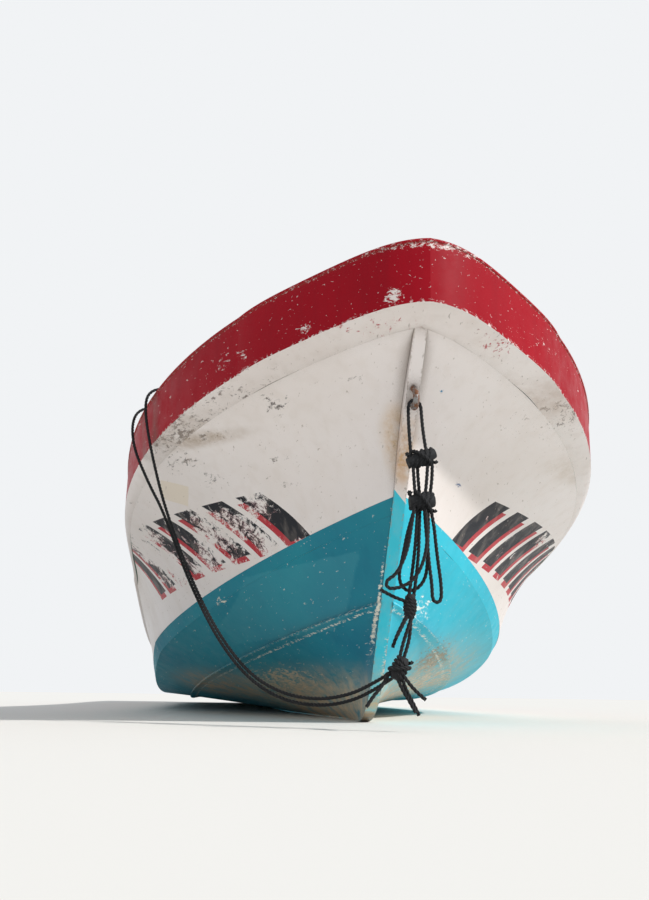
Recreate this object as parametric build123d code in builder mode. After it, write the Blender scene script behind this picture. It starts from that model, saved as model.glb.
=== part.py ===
from build123d import *
from math import atan2, cos, hypot, radians, sin, sqrt, tan
import os

os.makedirs("parts", exist_ok=True)

# Beach launch: open glass fibre hull with a high flared bow, a flat keel pad and an upright bulwark.
# Sizes are in millimetres. While a piece is drawn, x runs to port from the centreline, y runs aft from
# the stem head and z runs up from the underside of the keel pad. Each finished piece is moved forward
# by half the overall length, so that the origin lies under the middle of the boat.

# Overall sizes
transom_foot = 6950          # from the stem head to the foot of the transom's forward face
transom_rake = 10            # degrees
stern_taper = 0.09           # share of the breadth lost between the widest station and the transom
widest_station = 3800
laminate = 10                # hull shell
keel_proud = 6               # keel pad and stem band stand this far outside the shell

# Stem and keel
stem_half = 22
stem_top = 1203              # height where the stem band meets the rub band
stem_head_back = 148         # the band's foot is this far behind the stem head
stem_run = 874               # from there aft to the corner with the keel
forefoot_radius = 420
stem_depth = 46
pad_half = 150
pad_start = 1500             # the keel pad widens from here
pad_full = 3000              # and is full width from here
pad_thickness = 14

# Hull lines that leave the stem's side: half breadth, length and two powers of the curve in plan,
# height at the stem, height aft, length and power of the curve in profile
hull_lines = {
    "knuckle": dict(half=692, entry=2730, full=2.24, blunt=1.096, fore=405, aft=67, rise=3510, power=2.03),
    "chine": dict(half=912, entry=2470, full=1.91, blunt=1.105, fore=678, aft=94, rise=3700, power=1.635),
    "spray": dict(half=922, entry=2400, full=2.00, blunt=1.040, fore=736, aft=157, rise=3700, power=1.68),
}

# Inside
board = 14                   # sole, deck, benches and thwarts
bedding = 1.5                # between the shell and the edges of what is fitted in it
sole_height = 150            # top of the sole
bulkhead_fore = 1400
bulkhead_aft = bulkhead_fore + board
deck_fore = 120
deck_aft = bulkhead_aft + 20
deck_height = 985            # top of the foredeck at the hatch
deck_slope = radians(12)
hatch_middle = 830
bench_height = 430
bench_inboard = 560          # half the gangway between the side benches
seat_aft = 1900              # aft edge of the forward seat
thwart_middles = {"thwart_forward": 2900, "thwart_middle": 4150, "thwart_aft": 5400}
thwart_width = 300
slot_middle = 290            # openings in the fronts of the benches and thwarts
slot_height = 130
slot_length = 360
slot_corner = 45
seat_opening = 230
thwart_opening = 270
bench_openings = [2380, 3530, 4780, 6150]
bench_opening_length = 620
door_middle = 520
door_width = 440
door_height = 300
door_corner = 80

# Hatch in the foredeck, in the deck's own plane
hatch_width = 460
hatch_length = 400
hatch_corner = 50
coaming = 12                 # its wall
coaming_height = 32
lid_wall = 8
lid_play = 6
seat_play = 0.3
knuckle_radius = 7
knuckle_width = 22
pin_radius = 3
pin_play = 0.3
pin_height = 12
hinge_play = 1
hinge_spread = 150

# Transom
transom_thickness = 40
notch_top = 330
notch_bottom = 290
notch_depth = 120
drain_height = 22
drain_outside = 13
drain_bore = 9.5
drain_flange = 12
drain_flange_thickness = 4
cap_overhang = 6
motor_pad_width = 360
motor_pad_height = 260
motor_pad_thickness = 20
motor_pad_drop = 10          # below the notch
motor_pad_corner = 20
knee_top = 545
knee_thickness = 18
knee_leg = 460               # forward along the side
knee_arm = 500               # inboard along the transom
knee_lap = 90                # how far past the rail it runs before it is trimmed to the side
knee_hollow = 0.42           # how far its inner edge bows into the corner

# Fittings
bolt_play = 0.3
eye_height = 1026
eye_spread = 50
eye_rod = 20
eye_reach = 38               # straight part of the bow eye's legs outside the stem
stern_eye_out = 470
stern_eye_height = 330
stern_eye_spread = 50
stern_eye_rod = 12
stern_eye_reach = 22
cleat_length = 210
cleat_foot = 110
cleat_post = 10
cleat_post_out = 22          # from the cleat's middle
cleat_base = 7
cleat_rise = 34
cleat_tip = 6
bow_cleat_out = 430
bow_cleat_back = 1040
stern_cleat_in = 220         # inboard of the rail
stern_cleat_ahead = 50       # forward of the transom
rowlock_back = 4500
rowlock_plate = 100
rowlock_flange = 5
rowlock_tube = 13
rowlock_bore = 7
rowlock_depth = 60

# Ropes
rope_diameter = 12
knot_end = 0.65              # a knot's breadth at its ends, as a share of its middle
hitch_play = 0.4
hitch_gap = 1                # over the cleat's base
hitch_height = 20            # two turns of rope

# Gunwale cap
cap_thickness = 12
cap_width = 84
cap_lip = 40                 # its inner edge turns down this far
cap_round = 4

# Sheer line, which goes round the nose, and the lines below it: drop, inset at the side and at the nose
sheer = dict(half=1000, entry=2000, full=2.87, nose=82, fore=1436, aft=605, rise=4170, power=1.46)
sheer_steps = {
    "flange": dict(drop=233, inset=16, nose_inset=148),
    "band": dict(drop=204, inset=-4, nose_inset=8),
    "rail": dict(drop=cap_thickness, inset=0, nose_inset=0),
}

# Ribs, the section planes of the shell. Each stands upright on the keel pad's edge, so far aft, turned
# so many degrees from the centreline. A plane that meets the shell aslant cuts through more of its wall.
# Sag is how round the bottom is beside the keel.
rib_table = [
    dict(keel=1282, turn=4, wall=14, sag=34),
    dict(keel=1294, turn=10, wall=13, sag=26),
    dict(keel=1314, turn=18, wall=12, sag=18),
    dict(keel=1350, turn=30, wall=11, sag=12),
    dict(keel=1430, turn=46, wall=11, sag=8),
    dict(keel=1580, turn=62, wall=10, sag=5),
    dict(keel=1850, turn=76, wall=10, sag=4),
    dict(keel=2350, turn=90, wall=10, sag=3),
    dict(keel=3300, turn=90, wall=10, sag=3),
    dict(keel=4300, turn=90, wall=10, sag=3),
    dict(keel=5600, turn=90, wall=10, sag=3),
]
wall_at_stem = 15
seam = 0.3                   # beside the strip above the chine
stem_play = 0.8              # each side of the stem band
ribs_a_loft = 4              # bays in each loft
stem_swell = 1               # the stem bows out this much at the knuckle
garboard_share = 0.4         # where the round beside the keel ends on the way to the knuckle

# Flare: hollow of the topside as a share of its height, at the stem and aft
hollow_fore = 0.075
hollow_aft = 0.02
hollow_length = 2600
strip_lap = 5                # the strip over the keel reaches this far into each side
rail_inboard = 34            # spray rail
rail_outboard = 10
rail_depth = 14
flange_round = 5             # how far the rub band swells out


def stem_edge(height):
    """Distance aft of the stem's face at a height."""
    return stem_head_back + stem_run * (1 - height / stem_top)


def keel_half(y):
    """Half breadth of the keel pad."""
    share = min(max((y - pad_start) / (pad_full - pad_start), 0), 1)
    return stem_half + (pad_half - stem_half) * share


def taper(y):
    """Share of the full breadth that is left towards the stern."""
    behind = max(y - widest_station, 0) / (transom_foot - widest_station)
    return 1 - stern_taper * behind**2


def hull_point(name, run):
    """Point on a hull line, this far aft of where the line leaves the stem."""
    line = hull_lines[name]
    y = stem_edge(line["fore"]) + run
    share = min(run / line["entry"], 1)
    fullness = (1 - (1 - share) ** line["full"]) ** (1 / line["blunt"])
    half = stem_half + (line["half"] - stem_half) * fullness
    fall = 1 - min(run / line["rise"], 1)
    height = line["aft"] + (line["fore"] - line["aft"]) * fall ** line["power"]
    return Vector(half * taper(y), y, height)


def sheer_half(run):
    """Half breadth of the sheer line, round at the nose."""
    share = min(sqrt(run**2 + 2 * sheer["nose"] * run) / sheer["entry"], 1)
    return sheer["half"] * (1 - (1 - share) ** sheer["full"]) * taper(run)


def sheer_point(name, run):
    """Point on the sheer line or on a line below it, set in square to the sheer's plan."""
    step = sheer_steps[name]
    small = 0.5
    out = 2 * small
    across = sheer_half(run + small) - sheer_half(max(run - small, 0))
    if run < small:
        out = run + small
    size = hypot(out, across)
    side, ahead = out / size, across / size
    inset = step["inset"] + (step["nose_inset"] - step["inset"]) * max(ahead, 0)
    fall = 1 - min(run / sheer["rise"], 1)
    height = sheer["aft"] + (sheer["fore"] - sheer["aft"]) * fall ** sheer["power"]
    return Vector(sheer_half(run) - side * inset, run + ahead * inset, height - step["drop"])


def meet(plane, line, name):
    """Where a line crosses a rib's plane, in the plane's own coordinates."""
    near, far = 0.0, transom_foot + sheer["aft"]
    for _ in range(60):
        middle = (near + far) / 2
        if (line(name, middle) - plane.origin).dot(plane.z_dir) > 0:
            near = middle
        else:
            far = middle
    return plane.to_local_coords(line(name, near))


def arc_middle(start, end, sag):
    """Middle of an arc that bulges to the right of the way from start to end."""
    way = (end - start).normalized()
    return (start + end) / 2 + Vector(way.Y, -way.X) * sag


def inner_face(outer, wall):
    """The shell's inner corners: every outer corner moved in by the wall, mitred."""
    names = list(outer)
    inner = {names[0]: outer[names[0]] + Vector(0, wall)}
    for before, corner, after in zip(names, names[1:], names[2:]):
        first = (outer[corner] - outer[before]).normalized()
        second = (outer[after] - outer[corner]).normalized()
        normals = Vector(-first.Y - second.Y, first.X + second.X)
        inner[corner] = outer[corner] + normals * (wall / (1 + first.dot(second)))
    inner[names[-1]] = outer[names[-1]] + Vector(-wall, 0)
    return inner


def make_rib(plane, wall, sag, at_stem=False):
    """One section of the shell: its plane and the corners of its two faces."""
    flat = {name: meet(plane, hull_point, name) for name in hull_lines}
    flat |= {name: meet(plane, sheer_point, name) for name in sheer_steps}
    flat = {name: Vector(point.X, point.Y) for name, point in flat.items()}
    outer = {"keel": Vector(0, 0)}
    if at_stem:
        outer["bilge"] = forefoot_radius * Vector(sin(stem_lean / 2), 1 - cos(stem_lean / 2))
        outer["garboard"] = forefoot_radius * Vector(sin(stem_lean), 1 - cos(stem_lean))
    else:
        outer["garboard"] = flat["knuckle"] * garboard_share
        outer = {
            "keel": Vector(0, 0),
            "bilge": arc_middle(Vector(0, 0), outer["garboard"], sag),
            "garboard": outer["garboard"],
        }
    outer |= {name: flat[name] for name in ("knuckle", "chine", "spray")}
    if at_stem:
        outer["knuckle"] += stem_swell * Vector(sin(stem_lean), -cos(stem_lean))
    side = flat["flange"] - flat["spray"]
    along = min(max(plane.origin.Y - forefoot, 0) / hollow_length, 1)
    hollow = hollow_fore + (hollow_aft - hollow_fore) * along
    outer["flare"] = arc_middle(flat["spray"], flat["flange"], -hollow * side.length)
    outer |= {name: flat[name] for name in ("flange", "band", "rail")}
    return dict(plane=plane, outer=outer, inner=inner_face(outer, wall), fitted=inner_face(outer, wall + bedding))


stem_lean = atan2(stem_top, stem_run)
forefoot_corner = stem_head_back + stem_run
forefoot = forefoot_corner + forefoot_radius * tan(stem_lean / 2)


def upright(x, y, turn):
    """A vertical plane through the keel line, turned from the centreline towards the beam."""
    return Plane(
        origin=(x, y, 0),
        x_dir=(sin(radians(turn)), -cos(radians(turn)), 0),
        z_dir=(-cos(radians(turn)), -sin(radians(turn)), 0),
    )


stem_rib = make_rib(upright(stem_half, forefoot, 0), wall_at_stem, 0, at_stem=True)
nose_rib = make_rib(upright(0, forefoot, 0), wall_at_stem, 0, at_stem=True)
side_ribs = [
    make_rib(upright(keel_half(row["keel"]), row["keel"], row["turn"]), row["wall"], row["sag"])
    for row in rib_table
]
transom_plane = Plane(
    origin=(pad_half, transom_foot, 0),
    x_dir=(1, 0, 0),
    z_dir=(0, -cos(radians(transom_rake)), sin(radians(transom_rake))),
)
transom_face = Plane(origin=(0, transom_foot, 0), x_dir=(1, 0, 0), z_dir=transom_plane.z_dir)
side_ribs.append(make_rib(transom_plane, laminate, rib_table[-1]["sag"]))
shell_ribs = [stem_rib] + side_ribs
sheer_ribs = [nose_rib] + side_ribs


def lofted(ribs, outline):
    """A length of shell: one closed outline in each rib, lofted bow, shoulder and run in turn."""
    with BuildPart() as piece:
        for first in range(0, len(ribs) - 1, ribs_a_loft):
            for rib in ribs[first : first + ribs_a_loft + 1]:
                with BuildSketch(rib["plane"]):
                    with BuildLine():
                        for start, middle, end in outline(rib["outer"], rib["inner"]):
                            if middle is None:
                                Line(start, end)
                            else:
                                ThreePointArc(start, middle, end)
                    make_face()
            loft()
    return piece


def bottom_outline(outer, inner):
    """Bottom panel, from the keel pad to the chine."""
    return [
        (outer["keel"], outer["bilge"], outer["garboard"]),
        (outer["garboard"], None, outer["knuckle"]),
        (outer["knuckle"], None, outer["chine"]),
        (outer["chine"], None, inner["chine"]),
        (inner["chine"], None, inner["knuckle"]),
        (inner["knuckle"], None, inner["garboard"]),
        (inner["garboard"], inner["bilge"], inner["keel"]),
        (inner["keel"], None, outer["keel"]),
    ]


def chine_outline(outer, inner):
    """The narrow upright strip above the chine."""
    edge = seam * (outer["spray"] - outer["chine"]).normalized()
    return [
        (outer["chine"] + edge, None, outer["spray"] - edge),
        (outer["spray"] - edge, None, inner["spray"] - edge),
        (inner["spray"] - edge, None, inner["chine"] + edge),
        (inner["chine"] + edge, None, outer["chine"] + edge),
    ]


def topside_outline(outer, inner):
    """The flared side."""
    return [
        (outer["spray"], outer["flare"], outer["flange"]),
        (outer["flange"], None, inner["flange"]),
        (inner["flange"], inner["flare"], inner["spray"]),
        (inner["spray"], None, outer["spray"]),
    ]


def flange_outline(outer, inner):
    """The rub band, which leans out under the bulwark."""
    return [
        (outer["flange"], arc_middle(outer["flange"], outer["band"], flange_round), outer["band"]),
        (outer["band"], None, inner["band"]),
        (inner["band"], None, inner["flange"]),
        (inner["flange"], None, outer["flange"]),
    ]


def bulwark_outline(outer, inner):
    """The upright band above it."""
    return [
        (outer["band"], None, outer["rail"]),
        (outer["rail"], None, inner["rail"]),
        (inner["rail"], None, inner["band"]),
        (inner["band"], None, outer["band"]),
    ]


def rail_outline(outer, inner):
    """Spray rail under the knuckle: a wedge that is deepest at its outboard edge."""
    inboard = (outer["knuckle"] - outer["garboard"]).normalized()
    outboard = (outer["chine"] - outer["knuckle"]).normalized()
    start = outer["knuckle"] - rail_inboard * inboard
    end = outer["knuckle"] + rail_outboard * outboard
    edge = end + rail_depth * Vector(outboard.Y, -outboard.X)
    return [(start, None, outer["knuckle"]), (outer["knuckle"], None, end), (end, None, edge), (edge, None, start)]


def cap_outline(outer, inner):
    """Gunwale cap: a flat top with a rounded outer edge and a lip turned down inboard."""
    foot = outer["rail"]
    top = foot + Vector(0, cap_thickness)
    lip = foot + Vector(-cap_width, -cap_lip)
    return [
        (foot, arc_middle(foot, top, cap_round), top),
        (top, None, Vector(lip.X, top.Y)),
        (Vector(lip.X, top.Y), None, lip),
        (lip, None, lip + Vector(laminate, 0)),
        (lip + Vector(laminate, 0), None, Vector(lip.X + laminate, foot.Y)),
        (Vector(lip.X + laminate, foot.Y), None, foot),
    ]


def space_outline(outer, inner):
    """Half of the space inside the shell."""
    names = ("garboard", "knuckle", "chine", "spray")
    lines = [(inner[start], None, inner[end]) for start, end in zip(names, names[1:])]
    middle_top = Vector(0, inner["rail"].Y)
    return [
        (inner["keel"], inner["bilge"], inner["garboard"]),
        *lines,
        (inner["spray"], inner["flare"], inner["flange"]),
        (inner["flange"], None, inner["band"]),
        (inner["band"], None, inner["rail"]),
        (inner["rail"], None, middle_top),
        (middle_top, None, inner["keel"]),
    ]


def mirrored(piece):
    """The starboard copy of a port piece."""
    with BuildPart() as copy:
        mirror(piece.part, about=Plane.YZ)
    return copy


pieces = {}

# Shell: two sides from the keel to the rub band, and what runs on round the nose
for name, outline in [
    ("bottom", bottom_outline),
    ("chine_strip", chine_outline),
    ("spray_rail", rail_outline),
    ("topside", topside_outline),
]:
    pieces[f"{name}_port"] = lofted(shell_ribs, outline)
for name, outline in [("rub_band", flange_outline), ("bulwark", bulwark_outline), ("gunwale_cap", cap_outline)]:
    with BuildPart() as round_the_nose:
        add(lofted(sheer_ribs, outline).part)
        mirror(about=Plane.YZ)
    pieces[name] = round_the_nose

# Stem band, round the forefoot, and the flat keel pad behind it


def stem_line(out):
    """Stem top, corner and aft end of a line that runs this far outside the shell's profile."""
    head = (stem_edge(stem_top) - out / sin(stem_lean), stem_top)
    corner = (forefoot_corner - out * tan(stem_lean / 2), -out)
    return [head, corner, (pad_start, -out)]


with BuildPart() as stem_band:
    with BuildSketch(Plane.YZ):
        with BuildLine():
            outer_line = stem_line(keel_proud)
            inner_line = stem_line(keel_proud - stem_depth)
            FilletPolyline(*outer_line, radius=forefoot_radius + keel_proud)
            FilletPolyline(*inner_line, radius=forefoot_radius + keel_proud - stem_depth)
            Line(outer_line[0], inner_line[0])
            Line(outer_line[-1], inner_line[-1])
        make_face()
    extrude(amount=stem_half - stem_play, both=True)
pieces["stem_band"] = stem_band

with BuildPart() as keel_pad:
    with BuildSketch(Plane.XY.offset(-keel_proud)):
        with BuildLine():
            pad_end = transom_foot + pad_thickness
            Polyline(
                (stem_half, pad_start), (pad_half, pad_full), (pad_half, pad_end),
                (-pad_half, pad_end), (-pad_half, pad_full), (-stem_half, pad_start),
                close=True,
            )
        make_face()
    extrude(amount=pad_thickness)
    split(bisect_by=transom_face, keep=Keep.TOP)
pieces["keel_pad"] = keel_pad

# The bottom is cut away where the pad is let into it
with BuildPart() as bottom_port:
    add(pieces["bottom_port"].part - keel_pad.part)
pieces["bottom_port"] = bottom_port


def cut_to(name, neighbours):
    """A piece trimmed to its neighbours: two lofts part a little between the ribs, along the edge they share."""
    with BuildPart() as piece:
        add(pieces[name].part)
        for neighbour in neighbours:
            add(pieces[neighbour].part, mode=Mode.SUBTRACT)
    return piece


pieces["chine_strip_port"] = cut_to("chine_strip_port", ["bottom_port"])
for name in ("bottom", "chine_strip", "spray_rail", "topside"):
    pieces[f"{name}_starboard"] = mirrored(pieces[f"{name}_port"])
pieces["rub_band"] = cut_to("rub_band", ["topside_port", "topside_starboard", "stem_band"])
pieces["gunwale_cap"] = cut_to("gunwale_cap", ["bulwark"])

# Space inside the shell's port side in its three lengths, and over the keel, for trimming what is fitted in it
fitted_ribs = [dict(rib, inner=rib["fitted"]) for rib in shell_ribs]
port_space = [
    lofted(fitted_ribs[first : first + ribs_a_loft + 1], space_outline).part
    for first in range(0, len(fitted_ribs) - 1, ribs_a_loft)
]
pad_plan = [
    (stem_half + strip_lap, pad_start),
    (pad_half + strip_lap, pad_full), (pad_half + strip_lap, transom_foot + sheer["aft"]),
]
with BuildPart() as keel_space:
    with BuildSketch(Plane.XY.offset(pad_thickness - keel_proud)):
        with BuildLine():
            Polyline(*pad_plan, *[(-x, y) for x, y in reversed(pad_plan)], close=True)
        make_face()
    extrude(amount=sheer["fore"])
    with BuildSketch(Plane.YZ):
        with BuildLine():
            head, corner, aft_end = stem_line(keel_proud - stem_depth)
            FilletPolyline(head, corner, aft_end, radius=forefoot_radius + keel_proud - stem_depth)
            Polyline(aft_end, (pad_start, sheer["fore"]), (head[0], sheer["fore"]), head)
        make_face()
    extrude(amount=stem_half, both=True)
    split(bisect_by=transom_face, keep=Keep.TOP)


def fit_inside(block):
    """What of a block lies inside the shell: the port side, its mirror image and the strip over the keel."""
    with BuildPart() as piece:
        for length in port_space:
            common = length & block
            if common and common.volume > 1:
                add(common)
        mirror(about=Plane.YZ)
        add(keel_space.part & block)
    return piece.part


def board_between(fore, aft, low, high, inboard=0):
    """A box across the boat, from a distance off the centreline on the port side or from side to side."""
    wide = 2 * sheer["half"] if inboard == 0 else sheer["half"] - inboard
    across = 0 if inboard == 0 else inboard + wide / 2
    with BuildSketch(Plane.XY.offset(low)) as plan:
        with Locations((across, (fore + aft) / 2)):
            Rectangle(wide, aft - fore)
    extrude(plan.sketch, amount=high - low)


# Sole: a flat floor over the bottom
with BuildPart() as sole_block:
    board_between(bulkhead_aft, transom_foot + sheer["aft"], sole_height - board, sole_height)
with BuildPart() as sole:
    add(fit_inside(sole_block.part))
pieces["sole"] = sole

# Foredeck, which slopes with the sheer, with a coaming round its hatch
deck_plane = Plane(
    origin=(0, hatch_middle, deck_height), x_dir=(1, 0, 0), z_dir=(0, sin(deck_slope), cos(deck_slope))
)
with BuildPart() as deck_block:
    with BuildSketch(deck_plane):
        with Locations((0, (deck_fore + deck_aft) / 2 - hatch_middle)):
            Rectangle(2 * sheer["half"], 1.2 * (deck_aft - deck_fore))
    extrude(amount=-board)
    split(bisect_by=Plane.XZ.offset(-deck_aft), keep=Keep.TOP)
with BuildPart() as foredeck:
    add(fit_inside(deck_block.part))
    with BuildSketch(deck_plane):
        RectangleRounded(hatch_width + 2 * coaming, hatch_length + 2 * coaming, hatch_corner + coaming)
    extrude(amount=coaming_height)
    with BuildSketch(deck_plane.offset(-board)):
        RectangleRounded(hatch_width, hatch_length, hatch_corner)
    extrude(amount=board + coaming_height, mode=Mode.SUBTRACT)
pieces["foredeck"] = foredeck


def across_deck(start, along):
    """A plane at the hinge pins' height that faces to port, for what lies along the hinge line."""
    return Plane(deck_plane.location * Pos(start, along, pin_height) * Rot(0, 90, 0))


# Hatch lid: a shallow tray turned over the coaming, open towards its hinges
lid_inside = coaming + lid_play
lid_lip = pin_height
hinge_line = -(hatch_length / 2 + lid_inside + lid_wall + knuckle_radius + hinge_play)
with BuildPart() as hatch_lid:
    with BuildSketch(deck_plane.offset(lid_lip)):
        side = lid_inside + lid_wall
        RectangleRounded(hatch_width + 2 * side, hatch_length + 2 * side, hatch_corner + side)
    extrude(amount=coaming_height + seat_play + lid_wall - lid_lip)
    with BuildSketch(deck_plane.offset(lid_lip)):
        RectangleRounded(hatch_width + 2 * lid_inside, hatch_length + 2 * lid_inside, hatch_corner + lid_inside)
    extrude(amount=coaming_height + seat_play - lid_lip, mode=Mode.SUBTRACT)
    for across in (-hinge_spread, hinge_spread):
        with BuildSketch(across_deck(across - knuckle_width / 2, hinge_line)):
            Circle(knuckle_radius)
        extrude(amount=knuckle_width)
        with BuildSketch(deck_plane.offset(pin_height)):
            with Locations((across, hinge_line + (knuckle_radius + hinge_play + lid_wall) / 2)):
                Rectangle(knuckle_width, knuckle_radius + hinge_play + lid_wall)
        extrude(amount=knuckle_radius)
        with BuildSketch(across_deck(across - knuckle_width / 2, hinge_line)):
            Circle(pin_radius + pin_play)
        extrude(amount=knuckle_width, mode=Mode.SUBTRACT)
pieces["hatch_lid"] = hatch_lid

# Hinges: a pair of fixed knuckles with the pin, on each side of the lid's own
with BuildPart() as hatch_hinges:
    for across in (-hinge_spread, hinge_spread):
        for side in (-1, 1):
            start = across + side * (knuckle_width / 2 + hinge_play) - (knuckle_width if side < 0 else 0)
            with BuildSketch(across_deck(start, hinge_line)):
                Circle(knuckle_radius)
            extrude(amount=knuckle_width)
            with BuildSketch(deck_plane):
                with Locations((start + knuckle_width / 2, hinge_line)):
                    Rectangle(knuckle_width, 2 * knuckle_radius)
            extrude(amount=pin_height)
        span = 3 * knuckle_width + 2 * hinge_play
        with BuildSketch(across_deck(across - span / 2, hinge_line)):
            Circle(pin_radius)
        extrude(amount=span)
pieces["hatch_hinges"] = hatch_hinges

# Bulkhead under the foredeck's aft edge, with a way in to the locker
with BuildPart() as bulkhead_block:
    board_between(bulkhead_fore, bulkhead_aft, 0, sheer["fore"])
    split(bisect_by=deck_plane.offset(-board), keep=Keep.BOTTOM)
with BuildPart() as bow_bulkhead:
    add(fit_inside(bulkhead_block.part))
    with BuildSketch(Plane.XZ.offset(-bulkhead_fore)):
        with Locations((0, door_middle)):
            RectangleRounded(door_width, door_height, door_corner)
    extrude(amount=-board, mode=Mode.SUBTRACT)
pieces["bow_bulkhead"] = bow_bulkhead

# Forward seat: a box across the boat behind the bulkhead
with BuildPart() as seat_block:
    board_between(bulkhead_aft, seat_aft, bench_height - board, bench_height)
    board_between(seat_aft - board, seat_aft, sole_height, bench_height - board)
with BuildPart() as forward_seat:
    add(fit_inside(seat_block.part))
    with BuildSketch(Plane.XZ.offset(-seat_aft)):
        with Locations((-seat_opening, slot_middle), (seat_opening, slot_middle)):
            RectangleRounded(slot_length, slot_height, slot_corner)
    extrude(amount=board, mode=Mode.SUBTRACT)
pieces["forward_seat"] = forward_seat

# Side benches: a top and a front with long openings between the thwarts
with BuildPart() as bench_block:
    board_between(seat_aft, transom_foot + bench_height, bench_height - board, bench_height, bench_inboard)
    with BuildSketch(Plane.XY.offset(sole_height)):
        with Locations((bench_inboard + board / 2, (seat_aft + transom_foot + bench_height) / 2)):
            Rectangle(board, transom_foot + bench_height - seat_aft)
    extrude(amount=bench_height - sole_height)
with BuildPart() as side_bench_port:
    for length in port_space[1:]:
        add(length & bench_block.part)
    with BuildSketch(Plane.YZ.offset(bench_inboard)):
        with Locations(*[(middle, slot_middle) for middle in bench_openings]):
            RectangleRounded(bench_opening_length, slot_height, slot_corner)
    extrude(amount=board, mode=Mode.SUBTRACT)
pieces["side_bench_port"] = side_bench_port
pieces["side_bench_starboard"] = mirrored(side_bench_port)

# Thwarts: boxes between the benches, open under the seat through both walls
for name, middle in thwart_middles.items():
    with BuildPart() as thwart:
        for low, high, fore, aft in [
            (bench_height - board, bench_height, -thwart_width / 2, thwart_width / 2),
            (sole_height, bench_height - board, -thwart_width / 2, board - thwart_width / 2),
            (sole_height, bench_height - board, thwart_width / 2 - board, thwart_width / 2),
        ]:
            with BuildSketch(Plane.XY.offset(low)):
                with Locations((0, middle + (fore + aft) / 2)):
                    Rectangle(2 * bench_inboard, aft - fore)
            extrude(amount=high - low)
        with BuildSketch(Plane.XZ.offset(thwart_width / 2 - middle)):
            with Locations((-thwart_opening, slot_middle), (thwart_opening, slot_middle)):
                RectangleRounded(slot_length, slot_height, slot_corner)
        extrude(amount=-thwart_width, mode=Mode.SUBTRACT)
    pieces[name] = thwart

# Transom: a plate on the ends of the shell, cut down in the middle for a motor
corner = {name: point + Vector(pad_half, 0) for name, point in side_ribs[-1]["outer"].items()}
with BuildPart() as transom:
    with BuildSketch(transom_face):
        with BuildLine():
            foot = -2 * keel_proud
            Polyline((0, foot), (pad_half, foot), corner["keel"])
            ThreePointArc(corner["keel"], corner["bilge"], corner["garboard"])
            Polyline(*[corner[name] for name in ("garboard", "knuckle", "chine", "spray")])
            ThreePointArc(corner["spray"], corner["flare"], corner["flange"])
            ThreePointArc(
                corner["flange"], arc_middle(corner["flange"], corner["band"], flange_round), corner["band"]
            )
            Polyline(corner["band"], corner["rail"], (0, corner["rail"].Y), (0, foot))
        make_face()
        mirror(about=Plane.YZ)
        with BuildLine():
            top = corner["rail"].Y
            Polyline(
                (-notch_top, top), (-notch_bottom, top - notch_depth), (notch_bottom, top - notch_depth),
                (notch_top, top), close=True,
            )
        make_face(mode=Mode.SUBTRACT)
        with Locations((0, drain_height)):
            Circle(drain_outside, mode=Mode.SUBTRACT)
    extrude(amount=-transom_thickness)
    split(bisect_by=Plane.XY.offset(-keel_proud), keep=Keep.TOP)
pieces["transom"] = transom

# Cap on the transom's top edge and down into the notch
head = corner["rail"]
band = [
    (head.X, head.Y), (notch_top, head.Y), (notch_bottom, head.Y - notch_depth),
    (-notch_bottom, head.Y - notch_depth), (-notch_top, head.Y), (-head.X, head.Y),
]
raised = [
    (head.X, head.Y + cap_thickness), (notch_top - cap_thickness, head.Y + cap_thickness),
    (notch_bottom - cap_thickness, head.Y - notch_depth + cap_thickness),
]
with BuildPart() as transom_cap:
    with BuildSketch(transom_face):
        with BuildLine():
            Polyline(*band, *[(-x, y) for x, y in raised], *reversed(raised), close=True)
        make_face()
    extrude(amount=-transom_thickness - cap_overhang)
pieces["transom_cap"] = transom_cap

# Motor pads, one each side of the transom under the notch
pad_middle = head.Y - notch_depth - motor_pad_height / 2 - motor_pad_drop
for name, start, depth in [
    ("motor_pad_outer", -transom_thickness, -motor_pad_thickness),
    ("motor_pad_inner", 0, motor_pad_thickness),
]:
    with BuildPart() as motor_pad:
        with BuildSketch(transom_face.offset(start)):
            with Locations((0, pad_middle)):
                RectangleRounded(motor_pad_width, motor_pad_height, motor_pad_corner)
        extrude(amount=depth)
    pieces[name] = motor_pad

# Knees in the corners of the stern
transom_at_knee = transom_foot + knee_top * tan(radians(transom_rake))
with BuildPart() as knee_block:
    with BuildSketch(Plane.XY.offset(knee_top - knee_thickness)):
        with BuildLine():
            side = corner["rail"].X + knee_lap
            tip = (side, transom_at_knee - knee_leg)
            foot = (side - knee_arm, transom_at_knee)
            hollow = (side - knee_hollow * knee_arm, transom_at_knee - knee_hollow * knee_leg)
            ThreePointArc(tip, hollow, foot)
            Polyline(foot, (foot[0], foot[1] + knee_leg), (tip[0], foot[1] + knee_leg), tip)
        make_face()
    extrude(amount=knee_thickness)
with BuildPart() as stern_knee_port:
    add(port_space[-1] & knee_block.part)
pieces["stern_knee_port"] = stern_knee_port
pieces["stern_knee_starboard"] = mirrored(stern_knee_port)


def u_bolt(plane, spread, rod, reach, inside):
    """A bent rod whose two legs run through the plane, along its x, and whose bow stands out along its y."""
    with BuildPart() as bolt:
        with BuildLine(plane) as path:
            Line((-spread / 2, -inside), (-spread / 2, reach))
            ThreePointArc((-spread / 2, reach), (0, reach + spread / 2), (spread / 2, reach))
            Line((spread / 2, reach), (spread / 2, -inside))
        with BuildSketch(Plane(origin=path.line @ 0, z_dir=path.line % 0)):
            Circle(rod / 2)
        sweep()
    return bolt


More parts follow.
